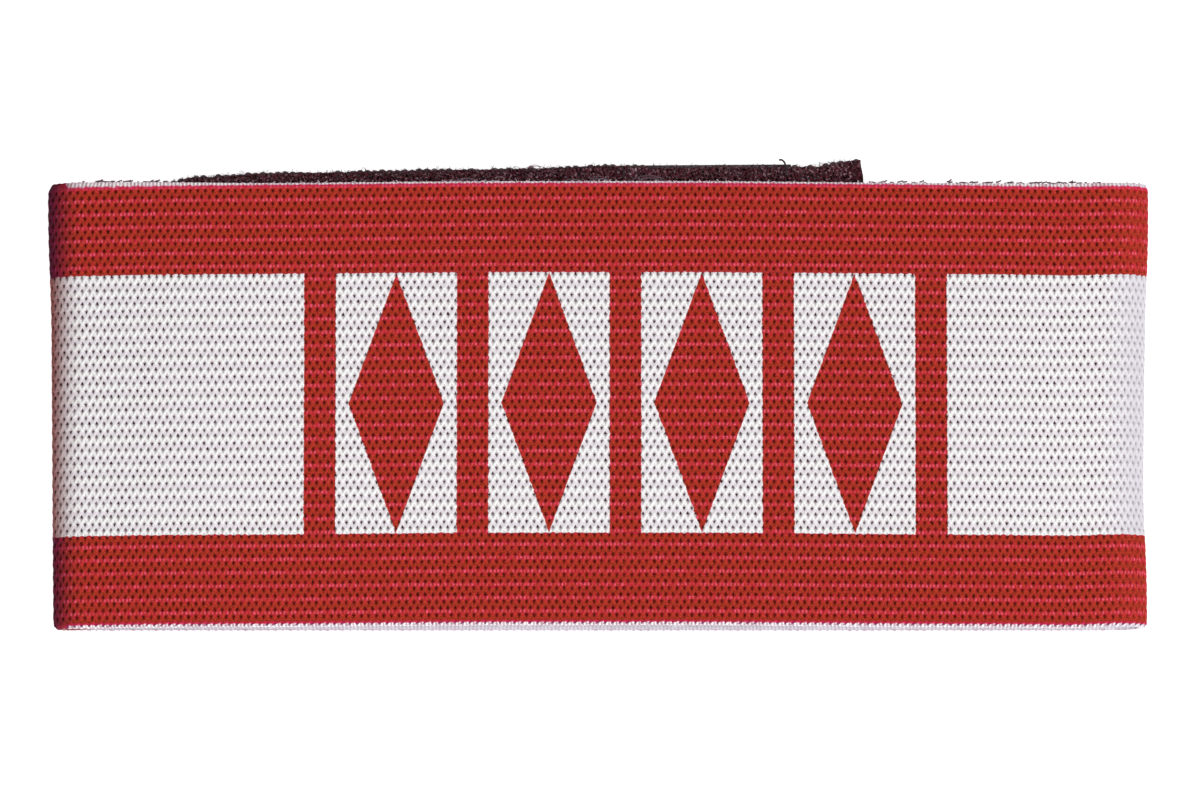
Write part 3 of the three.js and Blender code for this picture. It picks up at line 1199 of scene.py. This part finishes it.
@dataclass
class StripedBand:
    """The elastic strip: front, folds and rear, with its selvedge loops."""

    tape: Tape
    knit: Knit
    loops: EdgeLoops
    selvedge_inset: float = 0.12 * MM
    loop_levels: tuple[float, float] = (-0.3, 0.28)
    plain_rim: tuple[float, float] = (0.15 * MM, 0.7 * MM)
    back_rib: float = 0.09 * MM
    scallop: float = 0.03 * MM
    thinned: float = 0.35
    thinned_within: float = 0.5 * MM
    sway: float = 0.05 * MM
    sway_waves: tuple[float, float] = (19 * MM, 31 * MM)
    pieces: list[bpy.types.Object] = field(default_factory=list)

    def build(self) -> None:
        """Build every stretch of the strip and the loops along both edges, and dress them."""
        outer = ElasticFinish().make("printed_elastic", self.knit, self.tape.sizes.height, Print())
        inner = ElasticFinish().make("white_elastic", self.knit, self.tape.sizes.height, None)
        for stretch in self._stretches():
            piece = self._stretch(stretch)
            piece.data.materials.append(outer)
            piece.data.materials.append(inner)
            self._settle(piece)
        yarn = ThreadFinish(ink(226, 206, 216), ink(170, 138, 156)).make("selvedge_yarn")
        back = self._snap(self.tape.right.start + self.tape.right.length)
        spans = {"selvedge_front": (self.tape.left_end, back), "selvedge_rear": (back, self.tape.right_end)}
        for name, span in spans.items():
            self.pieces.append(dress(self._selvedge(name, *span), yarn))

    def _settle(self, piece: bpy.types.Object) -> None:
        """Ride a cloth piece on the body, hide the frame's band and keep the piece."""
        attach(piece, BODY)
        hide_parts("elastic_band")
        self.pieces.append(piece)

    def _snap(self, along: float) -> float:
        """The nearest whole repeat to a place along the strip."""
        return round(along / self.knit.along) * self.knit.along

    def _stretches(self) -> list[Stretch]:
        """Where the strip is divided: at whole repeats, so that the knit runs on unbroken."""
        left, right = self.tape.left, self.tape.right
        left_bow = self._snap(-left.start - left.arcs[1].start * 0.6)
        left_back = self._snap(-left.start - left.length)
        right_bow = self._snap(right.start + right.arcs[1].start * 0.6)
        right_back = self._snap(right.start + right.length)
        thirds = [self._snap(left_bow + (right_bow - left_bow) * share) for share in (1 / 3, 2 / 3)]
        fine, plain = (3, 4), (1, 1)
        return [
            Stretch("band_inner_end", self.tape.left_end, left_back, (2, 2), plain),
            Stretch("band_left_fold", left_back, left_bow, (2, 2), fine),
            Stretch("band_front_left", left_bow, thirds[0], (2, 2), fine),
            Stretch("band_front_middle", thirds[0], thirds[1], (2, 2), fine),
            Stretch("band_front_right", thirds[1], right_bow, (2, 2), fine),
            Stretch("band_right_fold", right_bow, right_back, (2, 2), fine),
            Stretch("band_rear", right_back, self.tape.right_end, (2, 2), plain),
        ]

    def _stretch(self, stretch: Stretch) -> bpy.types.Object:
        """Build one stretch flat, give it the knit's relief and fold it.

        Args:
            stretch: Which stretch.

        Returns:
            The piece.
        """
        half = self.tape.sizes.height / 2
        repeats = (stretch.end - stretch.start) / self.knit.along
        rows = 2 * half / self.knit.across
        steps = (
            max(1, round(repeats * stretch.inner_per_repeat[0])),
            max(1, round(rows * stretch.inner_per_repeat[1])),
        )
        low, high = (stretch.start, -half), (stretch.end, half)
        panel = Panel(low, high, self.tape.sizes.wall, steps, stretch.finer)
        mesh = panel.build(stretch.name)
        flat = points_of(mesh)
        lay_uv(mesh, flat)
        move_points(mesh, self.tape.fold_points(self._relieved(flat)))
        return to_object(mesh, stretch.name)

    def _relieved(self, flat: np.ndarray) -> np.ndarray:
        """Give flat cloth its stitches, its scalloped edges and a slight sway.

        Args:
            flat: The flat points.

        Returns:
            The points with their relief, still unfolded.
        """
        half = self.tape.sizes.height / 2
        u, v = self.knit.cells(flat, 2 * half)
        from_edge = half - np.abs(flat[:, 1])
        inside = smoothstep(from_edge, *self.plain_rim)
        outer = flat[:, 2] > 0
        relieved = flat.copy()
        height = self.knit.relief(u, v) * inside
        rib = self.back_rib * np.cos(2 * np.pi * u)
        relieved[:, 2] += np.where(outer, height - self.knit.crest_height, -rib)
        relieved[:, 2] += self._sway(flat)
        scallop = self.scallop * np.cos(2 * np.pi * u) * (1 - inside)
        relieved[:, 1] += np.sign(flat[:, 1]) * scallop
        relieved[:, 2] *= 1 - self.thinned * (1 - smoothstep(from_edge, 0, self.thinned_within))
        return relieved

    def _selvedge(self, name: str, start: float, end: float) -> bpy.types.Object:
        """Small loops of white yarn that stand out along both edges of the strip.

        Args:
            name: The piece's name.
            start: Where the loops start along the strip.
            end: Where they end.

        Returns:
            The piece.
        """
        foot = self.tape.sizes.height / 2 - self.selvedge_inset
        places = []
        fold_end = -self.tape.left.start - self.tape.left.length
        for index in range(int((end - start) / self.knit.along)):
            along = self._snap(start) + (index + 0.5) * self.knit.along
            if fold_end < along < -Print.full_from:
                continue
            for side in (-1, 1):
                for level in self.loop_levels:
                    middle = Vector((along, side * foot, self.tape.sizes.wall * level))
                    places.append(self.loops.place(middle, side, index * 4 + side + level))
        mesh = self.loops.row(name, places)
        flat = points_of(mesh)
        flat[:, 2] += self._sway(flat)
        move_points(mesh, self.tape.fold_points(flat))
        return to_object(mesh, name)

    def _sway(self, flat: np.ndarray) -> np.ndarray:
        """The strip's slight waviness, along its outer side."""
        along, across = self.sway_waves
        return self.sway * (np.sin(flat[:, 0] / along + flat[:, 1] / across) - 1)


# The fastening


@dataclass
class ClosureTab:
    """The black elastic tab: on the inner end, down to the patch, up over the hook tape and down again.

    Its frame lies on the strip's middle line at the tab's sewn end, with x along the tab and z up from
    the surface. What is sewn to the tab shares that frame.
    """

    tape: Tape
    length: float = 109.6 * MM
    top: float = 36 * MM
    bottom: float = 34.4 * MM
    wall: float = 1.2 * MM
    lap: float = 14 * MM
    ramp: float = 9 * MM
    gap: float = 0.3 * MM
    hook_width: float = 27.3 * MM
    hook_height: float = 72.3 * MM
    hook_set_back: float = 10.8 * MM
    hook_skew: float = math.radians(-1)
    spread: float = 1.28 * MM
    nipped: float = 2.6 * MM
    steps: tuple[int, int] = (186, 30)
    edge_levels: tuple[float, float] = (-0.2, 0.2)
    rim: float = 0.6 * MM
    scallop: float = 0.1 * MM
    slant: float = 1.6 * MM
    loops: EdgeLoops = EdgeLoops(pitch=1.177 * MM, rise=0.3 * MM, yarn=0.27 * MM, uneven=0.5)
    # Rows of (share of the length, share of the top): the upper edge, as in the frame.
    upper_edge: tuple[tuple[float, float], ...] = (
        (0.0, 0.972),
        (0.05, 0.998),
        (0.2, 1.012),
        (0.62, 1.006),
        (0.76, 0.99),
        (0.93, 0.9815),
        (1.0, 1.0107),
    )

    def matrix(self) -> Matrix:
        """Where the tab's frame lies."""
        sewn = self.tape.left_end + self.lap
        origin = self.tape.fold_points(np.array([[sewn, 0.0, 0.0]]))[0]
        turn = Matrix.Rotation(2 * self.tape.left.lean, 4, "Z")
        return Matrix.Translation((origin[0], origin[1], 0)) @ turn

    def place(self, flat: np.ndarray) -> np.ndarray:
        """Lay flat points of (along, across, out) of the tab's middle surface in the frame."""
        level = self._level(flat[:, 0]) + self.wall / 2 + flat[:, 2]
        rows = np.column_stack([flat[:, 0], flat[:, 1], level, np.ones(len(flat))])
        return (rows @ np.array(self.matrix()).T)[:, :3]

    def build(self) -> list[bpy.types.Object]:
        """Build and dress the tab's cloth and the loops along its edges.

        Returns:
            The pieces.
        """
        cloth = DarkClothFinish().make("black_elastic")
        yarn = ThreadFinish(ink(86, 52, 60), ink(36, 18, 24)).make("black_yarn")
        tab = dress(self._cloth(), cloth)
        tab.data.materials.append(cloth)
        loops = dress(self._edge_loops(), yarn)
        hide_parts("closure_tab")
        return [tab, loops]

    def _cloth(self) -> bpy.types.Object:
        """The tab's cloth, with more rows of faces near its edges, where it shows."""
        panel = Panel((0, 0), (self.length, 1), self.wall, self.steps, (2, 2))
        mesh = panel.build("closure_tab_cloth")
        flat = points_of(mesh)
        share = 0.5 - 0.5 * np.cos(np.pi * flat[:, 1])
        across = -self.bottom + (self.upper(flat[:, 0]) + self.bottom) * share
        rim = 1 - smoothstep(np.minimum(share, 1 - share) * (self.top + self.bottom), 0, self.rim)
        wave = np.cos(2 * np.pi * flat[:, 0] / self.loops.pitch)
        uneven = scatter(np.round(flat[:, 0] / (0.3 * MM)), 5.0) * 0.06 * MM
        across += rim * (self.scallop * wave + uneven) * np.where(share > 0.5, 1, -1)
        out = flat[:, 2]
        slant = np.sin(2 * np.pi * (flat[:, 0] / self.loops.pitch + across / self.slant))
        rough = scatter(np.round(flat[:, 0] / (0.29 * MM)) * 3 + np.round(flat[:, 1] * 60) * 57, 9.0)
        out = out * (1 - 0.3 * rim) + np.sign(out) * (1 - rim) * (0.07 * slant + 0.05 * rough) * MM
        flat = np.column_stack([self._spread_end(flat[:, 0], across), across, out])
        lay_uv(mesh, flat)
        move_points(mesh, self.place(flat))
        return to_object(mesh, "closure_tab_cloth")

    def _edge_loops(self) -> bpy.types.Object:
        """Loops of black yarn along the tab's upper and lower edges."""
        places = []
        for index in range(int(self.length / self.loops.pitch)):
            along = (index + 0.5) * self.loops.pitch
            for side in (-1, 1):
                edge = self.upper(np.array([along]))[0] if side > 0 else -self.bottom
                beside = self._spread_end(np.array([along]), edge)[0]
                for level in self.edge_levels:
                    middle = Vector((beside, edge, self.wall * level))
                    places.append(self.loops.place(middle, side, index * 4 + side + level))
        mesh = self.loops.row("tab_edge_loops", places)
        move_points(mesh, self.place(points_of(mesh)))
        return to_object(mesh, "tab_edge_loops")

    def upper(self, along: np.ndarray) -> np.ndarray:
        """Height of the upper edge along the tab, eased between the rows of its table."""
        share = along / self.length
        rise = np.full_like(share, self.upper_edge[0][1])
        for (low, before), (high, after) in zip(self.upper_edge, self.upper_edge[1:]):
            rise += (after - before) * smoothstep(share, low, high)
        return rise * self.top

    def _spread_end(self, along: np.ndarray, across: np.ndarray | float) -> np.ndarray:
        """Draw out the free end's upper half, where the cut is not square, but less at its corner."""
        share = np.clip((across + self.bottom) / (self.top + self.bottom), 0, 1)
        share = share * (1 - 0.3 * smoothstep(np.asarray(across), self.top - self.nipped, self.top))
        return along + self.spread * share * smoothstep(along, 0.8 * self.length, self.length)

    def _level(self, along: np.ndarray) -> np.ndarray:
        """Level of the tab's lower face along it."""
        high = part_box("closure_tab")[1].z - self.wall
        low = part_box("loop_patch")[1].z + self.gap
        right = self.length - self.hook_set_back
        left = right - self.hook_width
        reach = abs(math.sin(self.hook_skew)) * self.hook_height / 2
        off_lap = smoothstep(along, self.lap + self.gap, self.lap + self.gap + self.ramp)
        onto_hook = smoothstep(along, left - reach - self.ramp, left - reach - self.gap)
        off_hook = smoothstep(along, right + reach + self.gap, right + reach + self.ramp)
        raised = np.maximum(1 - off_lap, onto_hook - off_hook)
        return low + (high - low) * raised


@dataclass
class HookTape:
    """The woven tape under the tab, with its field of small plastic hooks turned down to the pile."""

    tab: ClosureTab
    backing: float = 0.5 * MM
    selvedge: float = 1.6 * MM
    pitch: tuple[float, float] = (1.15 * MM, 1.45 * MM)
    stem: float = 0.5 * MM
    crook: float = 0.17 * MM
    wire: float = 0.08 * MM
    turn: float = math.radians(200)
    steps: tuple[int, int] = (54, 120)
    relief: float = 0.03 * MM

    def matrix(self) -> Matrix:
        """Where the tape's middle lies, on top of its backing."""
        middle = self.tab.length - self.tab.hook_set_back - self.tab.hook_width / 2
        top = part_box("hook_tape")[1].z
        skew = Matrix.Rotation(self.tab.hook_skew, 4, "Z")
        return self.tab.matrix() @ Matrix.Translation((middle, 0, top)) @ skew

    def build(self) -> list[bpy.types.Object]:
        """Build and dress the backing and the hooks.

        Returns:
            The pieces.
        """
        woven = WovenFinish().make("black_backing")
        plastic = ThreadFinish(ink(70, 48, 56), ink(40, 24, 30), 0.0).make("hook_plastic")
        backing = dress(self._backing(), woven)
        backing.data.materials.append(woven)
        hooks = dress(self._hooks(), plastic)
        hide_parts("hook_tape")
        return [backing, hooks]

    def _backing(self) -> bpy.types.Object:
        """The woven backing, with the cross threads raised a little."""
        half = (self.tab.hook_width / 2, self.tab.hook_height / 2)
        panel = Panel((-half[0], -half[1]), half, self.backing, self.steps, (1, 1))
        mesh = panel.build("hook_tape_backing")
        flat = points_of(mesh)
        lay_uv(mesh, flat)
        warp = np.cos(np.pi * flat[:, 0] / WovenFinish.warp)
        weft = np.cos(np.pi * flat[:, 1] / WovenFinish.weft)
        flat[:, 2] += np.sign(flat[:, 2]) * self.relief * (warp * weft) - self.backing / 2
        rows = np.column_stack([flat, np.ones(len(flat))])
        move_points(mesh, (rows @ np.array(self.matrix()).T)[:, :3])
        return to_object(mesh, "hook_tape_backing")

    def _hooks(self) -> bpy.types.Object:
        """The field of hooks, in rows that look alternately up and down."""
        field_width = self.tab.hook_width - 2 * self.selvedge
        columns = int(field_width / self.pitch[0])
        rows = int(self.tab.hook_height / self.pitch[1])
        places = []
        for column in range(columns):
            for row in range(rows):
                x = (column + 0.5 - columns / 2) * self.pitch[0]
                y = (row + 0.5 - rows / 2) * self.pitch[1]
                facing = Matrix.Diagonal((1, 1 if column % 2 else -1, 1, 1))
                places.append(self.matrix() @ Matrix.Translation((x, y, -self.backing)) @ facing)
        return to_object(repeat(self._hook(), places, "hooks"), "hooks")

    def _hook(self) -> bpy.types.Mesh:
        """One hook: a short stem that turns back on itself."""
        bm = bmesh.new()
        bmesh.ops.create_circle(bm, segments=4, radius=self.wire, cap_ends=True)
        stem = bmesh.ops.extrude_face_region(bm, geom=bm.faces[:])["geom"]
        tip = [item for item in stem if isinstance(item, bmesh.types.BMVert)]
        bmesh.ops.translate(bm, verts=tip, vec=(0, 0, -self.stem))
        cap = [item for item in stem if isinstance(item, bmesh.types.BMFace)]
        bmesh.ops.spin(
            bm,
            geom=cap + [edge for edge in cap[0].edges] + tip,
            cent=(0, self.crook, -self.stem),
            axis=(1, 0, 0),
            angle=self.turn,
            steps=5,
        )
        bmesh.ops.recalc_face_normals(bm, faces=bm.faces)
        return to_mesh(bm, "hook")


@dataclass
class LoopPatch:
    """The black pile that the hooks hold on to, sewn on the inner face of the rear layer."""

    tab: ClosureTab
    corner: float = 1.5 * MM
    grain: float = 1.1 * MM
    loops: int = 1800
    seam_inset: float = 1.4 * MM
    pressed: float = 0.55
    standing: float = 1.1
    uneven: float = 0.3

    def build(self) -> list[bpy.types.Object]:
        """Build and dress the pile's ground and its loops.

        Returns:
            The pieces.
        """
        pile = DarkClothFinish(bump=0.4 * MM).make("black_pile")
        yarn = ThreadFinish(ink(74, 46, 54), ink(30, 16, 22)).make("pile_yarn")
        ground = dress(self._ground(), pile)
        ground.data.materials.append(pile)
        loops = dress(self._loops(), yarn)
        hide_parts("loop_patch")
        return [ground, loops]

    def _ground(self) -> bpy.types.Object:
        """The patch's ground: an uneven pad with round corners."""
        low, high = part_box("loop_patch")
        steps = (round((high.x - low.x) / self.grain), round((high.y - low.y) / self.grain))
        panel = Panel((low.x, low.y), (high.x, high.y), high.z - low.z, steps, (1, 1))
        mesh = panel.build("loop_patch_ground")
        points = points_of(mesh)
        lay_uv(mesh, points)
        middle = np.array((low + high) / 2)
        half = np.array((high - low) / 2)
        beside = np.abs(points[:, :2] - middle[:2]) - (half[:2] - self.corner)
        cut = np.all(beside > 0, axis=1)
        pull = beside[cut].max(axis=1) / np.hypot(*beside[cut].T)
        inset = beside[cut] * (pull[:, None] - 1)
        points[cut, :2] += np.sign(points[cut, :2] - middle[:2]) * inset
        rough = scatter(np.round(points[:, 0] / MM) * 13 + np.round(points[:, 1] / MM) * 71, 2.0)
        points[:, 2] += np.where(points[:, 2] > 0, 0.08 * MM * rough - 0.1 * MM, 0) + middle[2]
        move_points(mesh, points)
        return to_object(mesh, "loop_patch_ground")

    def _loops(self) -> bpy.types.Object:
        """Loops of the pile, low under the tab and taller beside it."""
        low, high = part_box("loop_patch")
        tab_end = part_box("closure_tab")[1].x
        template = EdgeLoops(pitch=0.9 * MM, rise=0.5 * MM, yarn=0.07 * MM, sides=3, steps=4)
        places = []
        for index in range(self.loops):
            spot = scatter(np.array([index, index + 0.5]), 11.0) * 0.5 + 0.5
            turn, lift = scatter(np.array([index, index + 0.5]), 17.0)
            x, y = low.x + (high.x - low.x) * spot[0], low.y + (high.y - low.y) * spot[1]
            foot = Vector((x, y, high.z - 0.1 * MM))
            tall = self.pressed if foot.x < tab_end else self.standing + self.uneven * lift
            place = Matrix.Translation(foot) @ Matrix.Rotation(math.pi * turn, 4, "Z")
            place @= Matrix.Rotation(math.pi / 2, 4, "X")
            places.append(place @ Matrix.Diagonal((1, tall, 1, 1)))
        return to_object(template.row("pile_loops", places), "pile_loops")


@dataclass
class Seams:
    """The seams of the patch on the rear layer, the tab on the inner end and the hook tape on the tab."""

    tape: Tape
    tab: ClosureTab
    patch: LoopPatch
    outside_level: float = 0.1 * MM
    lap_rows: tuple[float, float] = (2.5 * MM, 11 * MM)
    hook_inset: float = 0.8 * MM

    def build(self) -> list[bpy.types.Object]:
        """Sew all the seams.

        Returns:
            The pieces.
        """
        thread = ThreadFinish(ink(64, 44, 50), ink(34, 20, 26), 0.1).make("black_thread")
        stitching = Stitching()
        seams = [
            stitching.seam("patch_seam", self._patch_lines(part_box("loop_patch")[1].z)),
            stitching.seam("patch_seam_outside", self._patch_lines(self.outside_level)),
            stitching.seam("lap_seam", self._across_lines(self.lap_rows, 0.0)),
            stitching.seam("hook_tape_seam", self._across_lines(self._hook_edges(), self.tab.hook_skew)),
        ]
        slots = ("loop_pile", "loop_pile", "black_elastic", "black_elastic")
        return [dress(seam, thread) for seam, slot in zip(seams, slots)]

    def _patch_lines(self, level: float) -> list[tuple[Vector, Vector]]:
        """The seam round the patch, at a level."""
        low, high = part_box("loop_patch")
        inset = self.patch.seam_inset
        left, right, bottom, top = low.x + inset, high.x - inset, low.y + inset, high.y - inset
        around = ((left, bottom), (right, bottom), (right, top), (left, top))
        ring = [Vector((x, y, level)) for x, y in around]
        return list(zip(ring, ring[1:] + ring[:1]))

    def _hook_edges(self) -> tuple[float, float]:
        """The two long edges of the hook tape, along the tab, drawn in to where they are sewn."""
        right = self.tab.length - self.tab.hook_set_back - self.hook_inset
        return right - self.tab.hook_width + 2 * self.hook_inset, right

    def _across_lines(self, places: Sequence[float], skew: float) -> list[tuple[Vector, Vector]]:
        """Seams across the tab, on its upper face."""
        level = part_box("closure_tab")[1].z + 0.02 * MM
        matrix = self.tab.matrix()
        edges = (-self.tab.bottom, self.tab.top)
        lines = []
        for along in places:
            ends = [Vector((along - math.tan(skew) * y, y, level)) for y in edges]
            lines.append((matrix @ ends[0], matrix @ ends[1]))
        return lines


@dataclass(frozen=True)
class Curl:
    """One loose curl of lint on the tab: where it lies, how wide it is and how high it arches."""

    along: float
    up: float
    width: float
    rise: float


@dataclass
class Lint:
    """Loose fibres: curls lying on the tab, a nub of thread at the hook tape's corner and stray ends."""

    tape: Tape
    tab: ClosureTab
    # Places along the tab and up from its middle line, where the photograph shows curls.
    curls: tuple[Curl, ...] = (
        Curl(48.0 * MM, 33.4 * MM, 4.8 * MM, 1.5 * MM),
        Curl(64.5 * MM, 33.3 * MM, 4.0 * MM, 0.9 * MM),
        Curl(69.0 * MM, 33.2 * MM, 3.4 * MM, 1.1 * MM),
        Curl(77.0 * MM, 33.0 * MM, 5.2 * MM, 1.3 * MM),
        Curl(59.0 * MM, 36.2 * MM, 2.4 * MM, 0.5 * MM),
    )
    fuzz: int = 420
    strays: int = 96
    selvedge_hairs: int = 220
    # Where the strays lie along the strip at either side: the middle, and how far they reach from it.
    left_strays: tuple[float, float] = (-74.5 * MM, 7.5 * MM)
    right_strays: tuple[float, float] = (60.5 * MM, 18.5 * MM)

    def build(self) -> list[bpy.types.Object]:
        """Build and dress the fibres.

        Returns:
            The pieces.
        """
        pale = ThreadFinish(ink(170, 136, 152), ink(120, 86, 100)).make("pale_lint")
        dark = ThreadFinish(ink(80, 52, 58), ink(36, 20, 26)).make("dark_fibre")
        mauve = ThreadFinish(ink(128, 88, 108), ink(70, 40, 56)).make("mauve_fibre")
        white = ThreadFinish(ink(246, 240, 246), ink(214, 200, 212)).make("white_fibre")
        kinds = (
            ("tab_curls", 0.09 * MM, self._curls(), pale, "black_elastic"),
            ("tab_fuzz", 0.08 * MM, self._fuzz(), dark, "black_elastic"),
            ("hook_tape_nub", 0.32 * MM, self._nub(), dark, "hook_plastic"),
            ("edge_strays", 0.24 * MM, self._strays(), mauve, "black_elastic"),
            ("selvedge_fuzz", 0.07 * MM, self._selvedge_fuzz(), white, "striped_elastic"),
        )
        return [
            dress(Fibres(thickness).build(name, paths), material)
            for name, thickness, paths, material, slot in kinds
        ]

    def _on_tab(self, along: float, up: float, lift: float) -> Vector:
        """A place over the tab's middle surface, in the frame."""
        return Vector(self.tab.place(np.array([[along, up, self.tab.wall / 2 + lift]]))[0])

    def _curls(self) -> list[list[Vector]]:
        """Arched curls, each of a few fibres that part a little."""
        paths = []
        for number, curl in enumerate(self.curls):
            for fibre in range(4):
                odd = scatter(np.arange(3) + fibre * 3 + number * 17, 21.0)
                path = []
                for step in range(9):
                    angle = math.pi * (1 - step / 8)
                    along = curl.along + curl.width / 2 * math.cos(angle) * (1 + 0.15 * odd[0])
                    along += 0.3 * MM * odd[1]
                    up = curl.up + curl.rise * math.sin(angle) * (1 + 0.3 * odd[2])
                    path.append(self._on_tab(along, up, (0.12 + 0.06 * fibre) * MM))
                paths.append(path)
        return paths

    def _fuzz(self) -> list[list[Vector]]:
        """Short fibres all over the tab's upper edge."""
        paths = []
        for index in range(self.fuzz):
            odd = scatter(np.arange(4) + index * 4, 31.0)
            along = self.tab.length * (index + 0.5 + odd[0] * 0.5) / self.fuzz
            edge = float(self.tab.upper(np.array([along]))[0])
            foot = self._on_tab(along, edge - (0.1 + 1.6 * (odd[1] * 0.5 + 0.5) ** 2) * MM, 0.05 * MM)
            heading = Vector((odd[2], 0.9, 0.15))
            paths.append(Fibres.curl(foot, heading, (0.7 + 0.35 * odd[3]) * MM, 2.5 * odd[0], 5))
        return paths

    def _nub(self) -> list[list[Vector]]:
        """The thread that curls up at the corner of the hook tape's cut end."""
        corner = self.tab.length - self.tab.hook_set_back - 0.3 * MM
        foot = self._on_tab(corner, self.tab.hook_height / 2 - 0.5 * MM, -0.4 * MM)
        return [Fibres.curl(foot, Vector((-0.2, 1, 0.1)), 1.5 * MM, 2.2, 7)]

    def _strays(self) -> list[list[Vector]]:
        """Short dark ends among the front's upper loops, beside the tab's two ends."""
        half = self.tape.sizes.height / 2
        paths = []
        for index in range(self.strays):
            odd = scatter(np.arange(5) + index * 5, 41.0)
            middle, reach = self.left_strays if index % 3 == 0 else self.right_strays
            along = middle + reach * odd[0]
            flat = np.array([[along, half + (0.2 + 0.09 * odd[1]) * MM, (-0.3 - 0.4 * odd[2] ** 2) * MM]])
            foot = Vector(self.tape.fold_points(flat)[0])
            heading = Vector((1, 0.3 * odd[3], 0.1))
            paths.append(Fibres.curl(foot, heading, (0.65 + 0.3 * odd[4]) * MM, 1.2 * odd[1], 4))
        return paths

    def _selvedge_fuzz(self) -> list[list[Vector]]:
        """Fine white fibres along the front's two edges."""
        half = self.tape.sizes.height / 2
        reach = self.tape.right.start
        paths = []
        for index in range(self.selvedge_hairs):
            odd = scatter(np.arange(5) + index * 5, 51.0)
            side = 1 if index % 2 else -1
            flat = np.array([[reach * odd[0], side * (half - 0.1 * MM), 0.5 * MM * odd[1]]])
            foot = Vector(self.tape.fold_points(flat)[0])
            heading = Vector((odd[2] * 1.4, side, 0.3 * odd[3]))
            paths.append(Fibres.curl(foot, heading, (0.4 + 0.2 * odd[4]) * MM, 2.4 * odd[3], 4))
        return paths


# The surroundings


@dataclass(frozen=True)
class Lamp:
    """A square soft light: where it hangs, its side and its power in watts."""

    name: str
    place: tuple[float, float, float]
    size: float
    power: float


@dataclass(frozen=True)
class Studio:
    """Pale floor, soft lights and the camera."""

    tape: Tape
    image_width: int = 1200
    pixels_per_mm: float = 6.37
    aim: tuple[float, float] = (0.3 * MM, 0.34 * MM)
    elevation: float = math.radians(84)
    distance: float = 1.5
    floor_radius: float = 7.0
    floor_glow: float = 0.72
    sky: float = 0.25
    lamps: tuple[Lamp, ...] = (
        Lamp("key", (2.4, -0.7, 3.95), 1.65, 145.0),
        Lamp("fill", (-0.3, -1.6, 0.9), 1.0, 19.0),
    )

    def build(self) -> None:
        """Set the floor, the lights and the camera."""
        self._floor()
        self._world()
        for lamp in self.lamps:
            self._hang(lamp)
        self._camera()
        bpy.context.scene.view_settings.view_transform = "Standard"

    def _floor(self) -> None:
        """A round pale floor, bright enough to stay nearly white."""
        bm = bmesh.new()
        bmesh.ops.create_circle(bm, cap_ends=True, segments=96, radius=self.floor_radius)
        floor = to_object(to_mesh(bm, "floor"), "floor")
        graph = Graph("floor_white")
        shader = graph.node("ShaderNodeBsdfPrincipled")
        shader.inputs["Base Color"].default_value = ink(240, 240, 240)
        shader.inputs["Roughness"].default_value = 0.9
        shader.inputs["Emission Color"].default_value = (1, 1, 1, 1)
        shader.inputs["Emission Strength"].default_value = self.floor_glow
        output = graph.node("ShaderNodeOutputMaterial")
        graph.tree.links.new(shader.outputs[0], output.inputs[0])
        floor.data.materials.append(graph.material)

    def _world(self) -> None:
        """Even white light from all round."""
        world = bpy.data.worlds.new("studio")
        world.use_nodes = True
        background = world.node_tree.nodes["Background"]
        background.inputs["Color"].default_value = (1, 1, 1, 1)
        background.inputs["Strength"].default_value = self.sky
        bpy.context.scene.world = world

    @staticmethod
    def _hang(lamp: Lamp) -> None:
        """Add a lamp that shines on the armband.

        Args:
            lamp: The lamp.
        """
        data = bpy.data.lights.new(lamp.name, "AREA")
        data.size = lamp.size
        data.energy = lamp.power
        light = bpy.data.objects.new(lamp.name, data)
        light.location = lamp.place
        light.rotation_euler = (-Vector(lamp.place)).to_track_quat("-Z", "Y").to_euler()
        bpy.context.scene.collection.objects.link(light)

    def _camera(self) -> None:
        """Look down on the front from just below its middle, with a long lens."""
        data = bpy.data.cameras.new("camera")
        camera = bpy.data.objects.new("camera", data)
        bpy.context.scene.collection.objects.link(camera)
        target = Vector((*self.aim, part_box("elastic_band")[1].z)) + self.tape.shift
        back = Vector((0, -math.cos(self.elevation), math.sin(self.elevation)))
        camera.location = target + back * self.distance
        camera.rotation_euler = (-back).to_track_quat("-Z", "Y").to_euler()
        view_width = self.image_width / self.pixels_per_mm * MM
        data.sensor_width = 36
        data.lens = data.sensor_width * self.distance / view_width
        data.clip_end = 20
        bpy.context.scene.camera = camera


def main() -> None:
    """Load the frame, build each class in order and report the pieces."""
    logging.basicConfig(level=logging.INFO, format="%(name)s: %(message)s")
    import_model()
    tape = Tape(TapeSizes())
    Studio(tape).build()
    knit = Knit()
    band = StripedBand(tape, knit, EdgeLoops(pitch=0.62 * knit.along, rise=0.2 * MM, yarn=0.1 * MM))
    band.build()
    tab = ClosureTab(tape)
    patch = LoopPatch(tab)
    pieces = [*band.pieces, *patch.build(), *HookTape(tab).build(), *tab.build()]
    pieces += Seams(tape, tab, patch).build()
    pieces += Lint(tape, tab).build()
    for piece in pieces:
        faces = sum(len(polygon.vertices) - 2 for polygon in piece.data.polygons)
        LOG.info("%s: %d triangles", piece.name, faces)


if __name__ == "__main__":
    main()
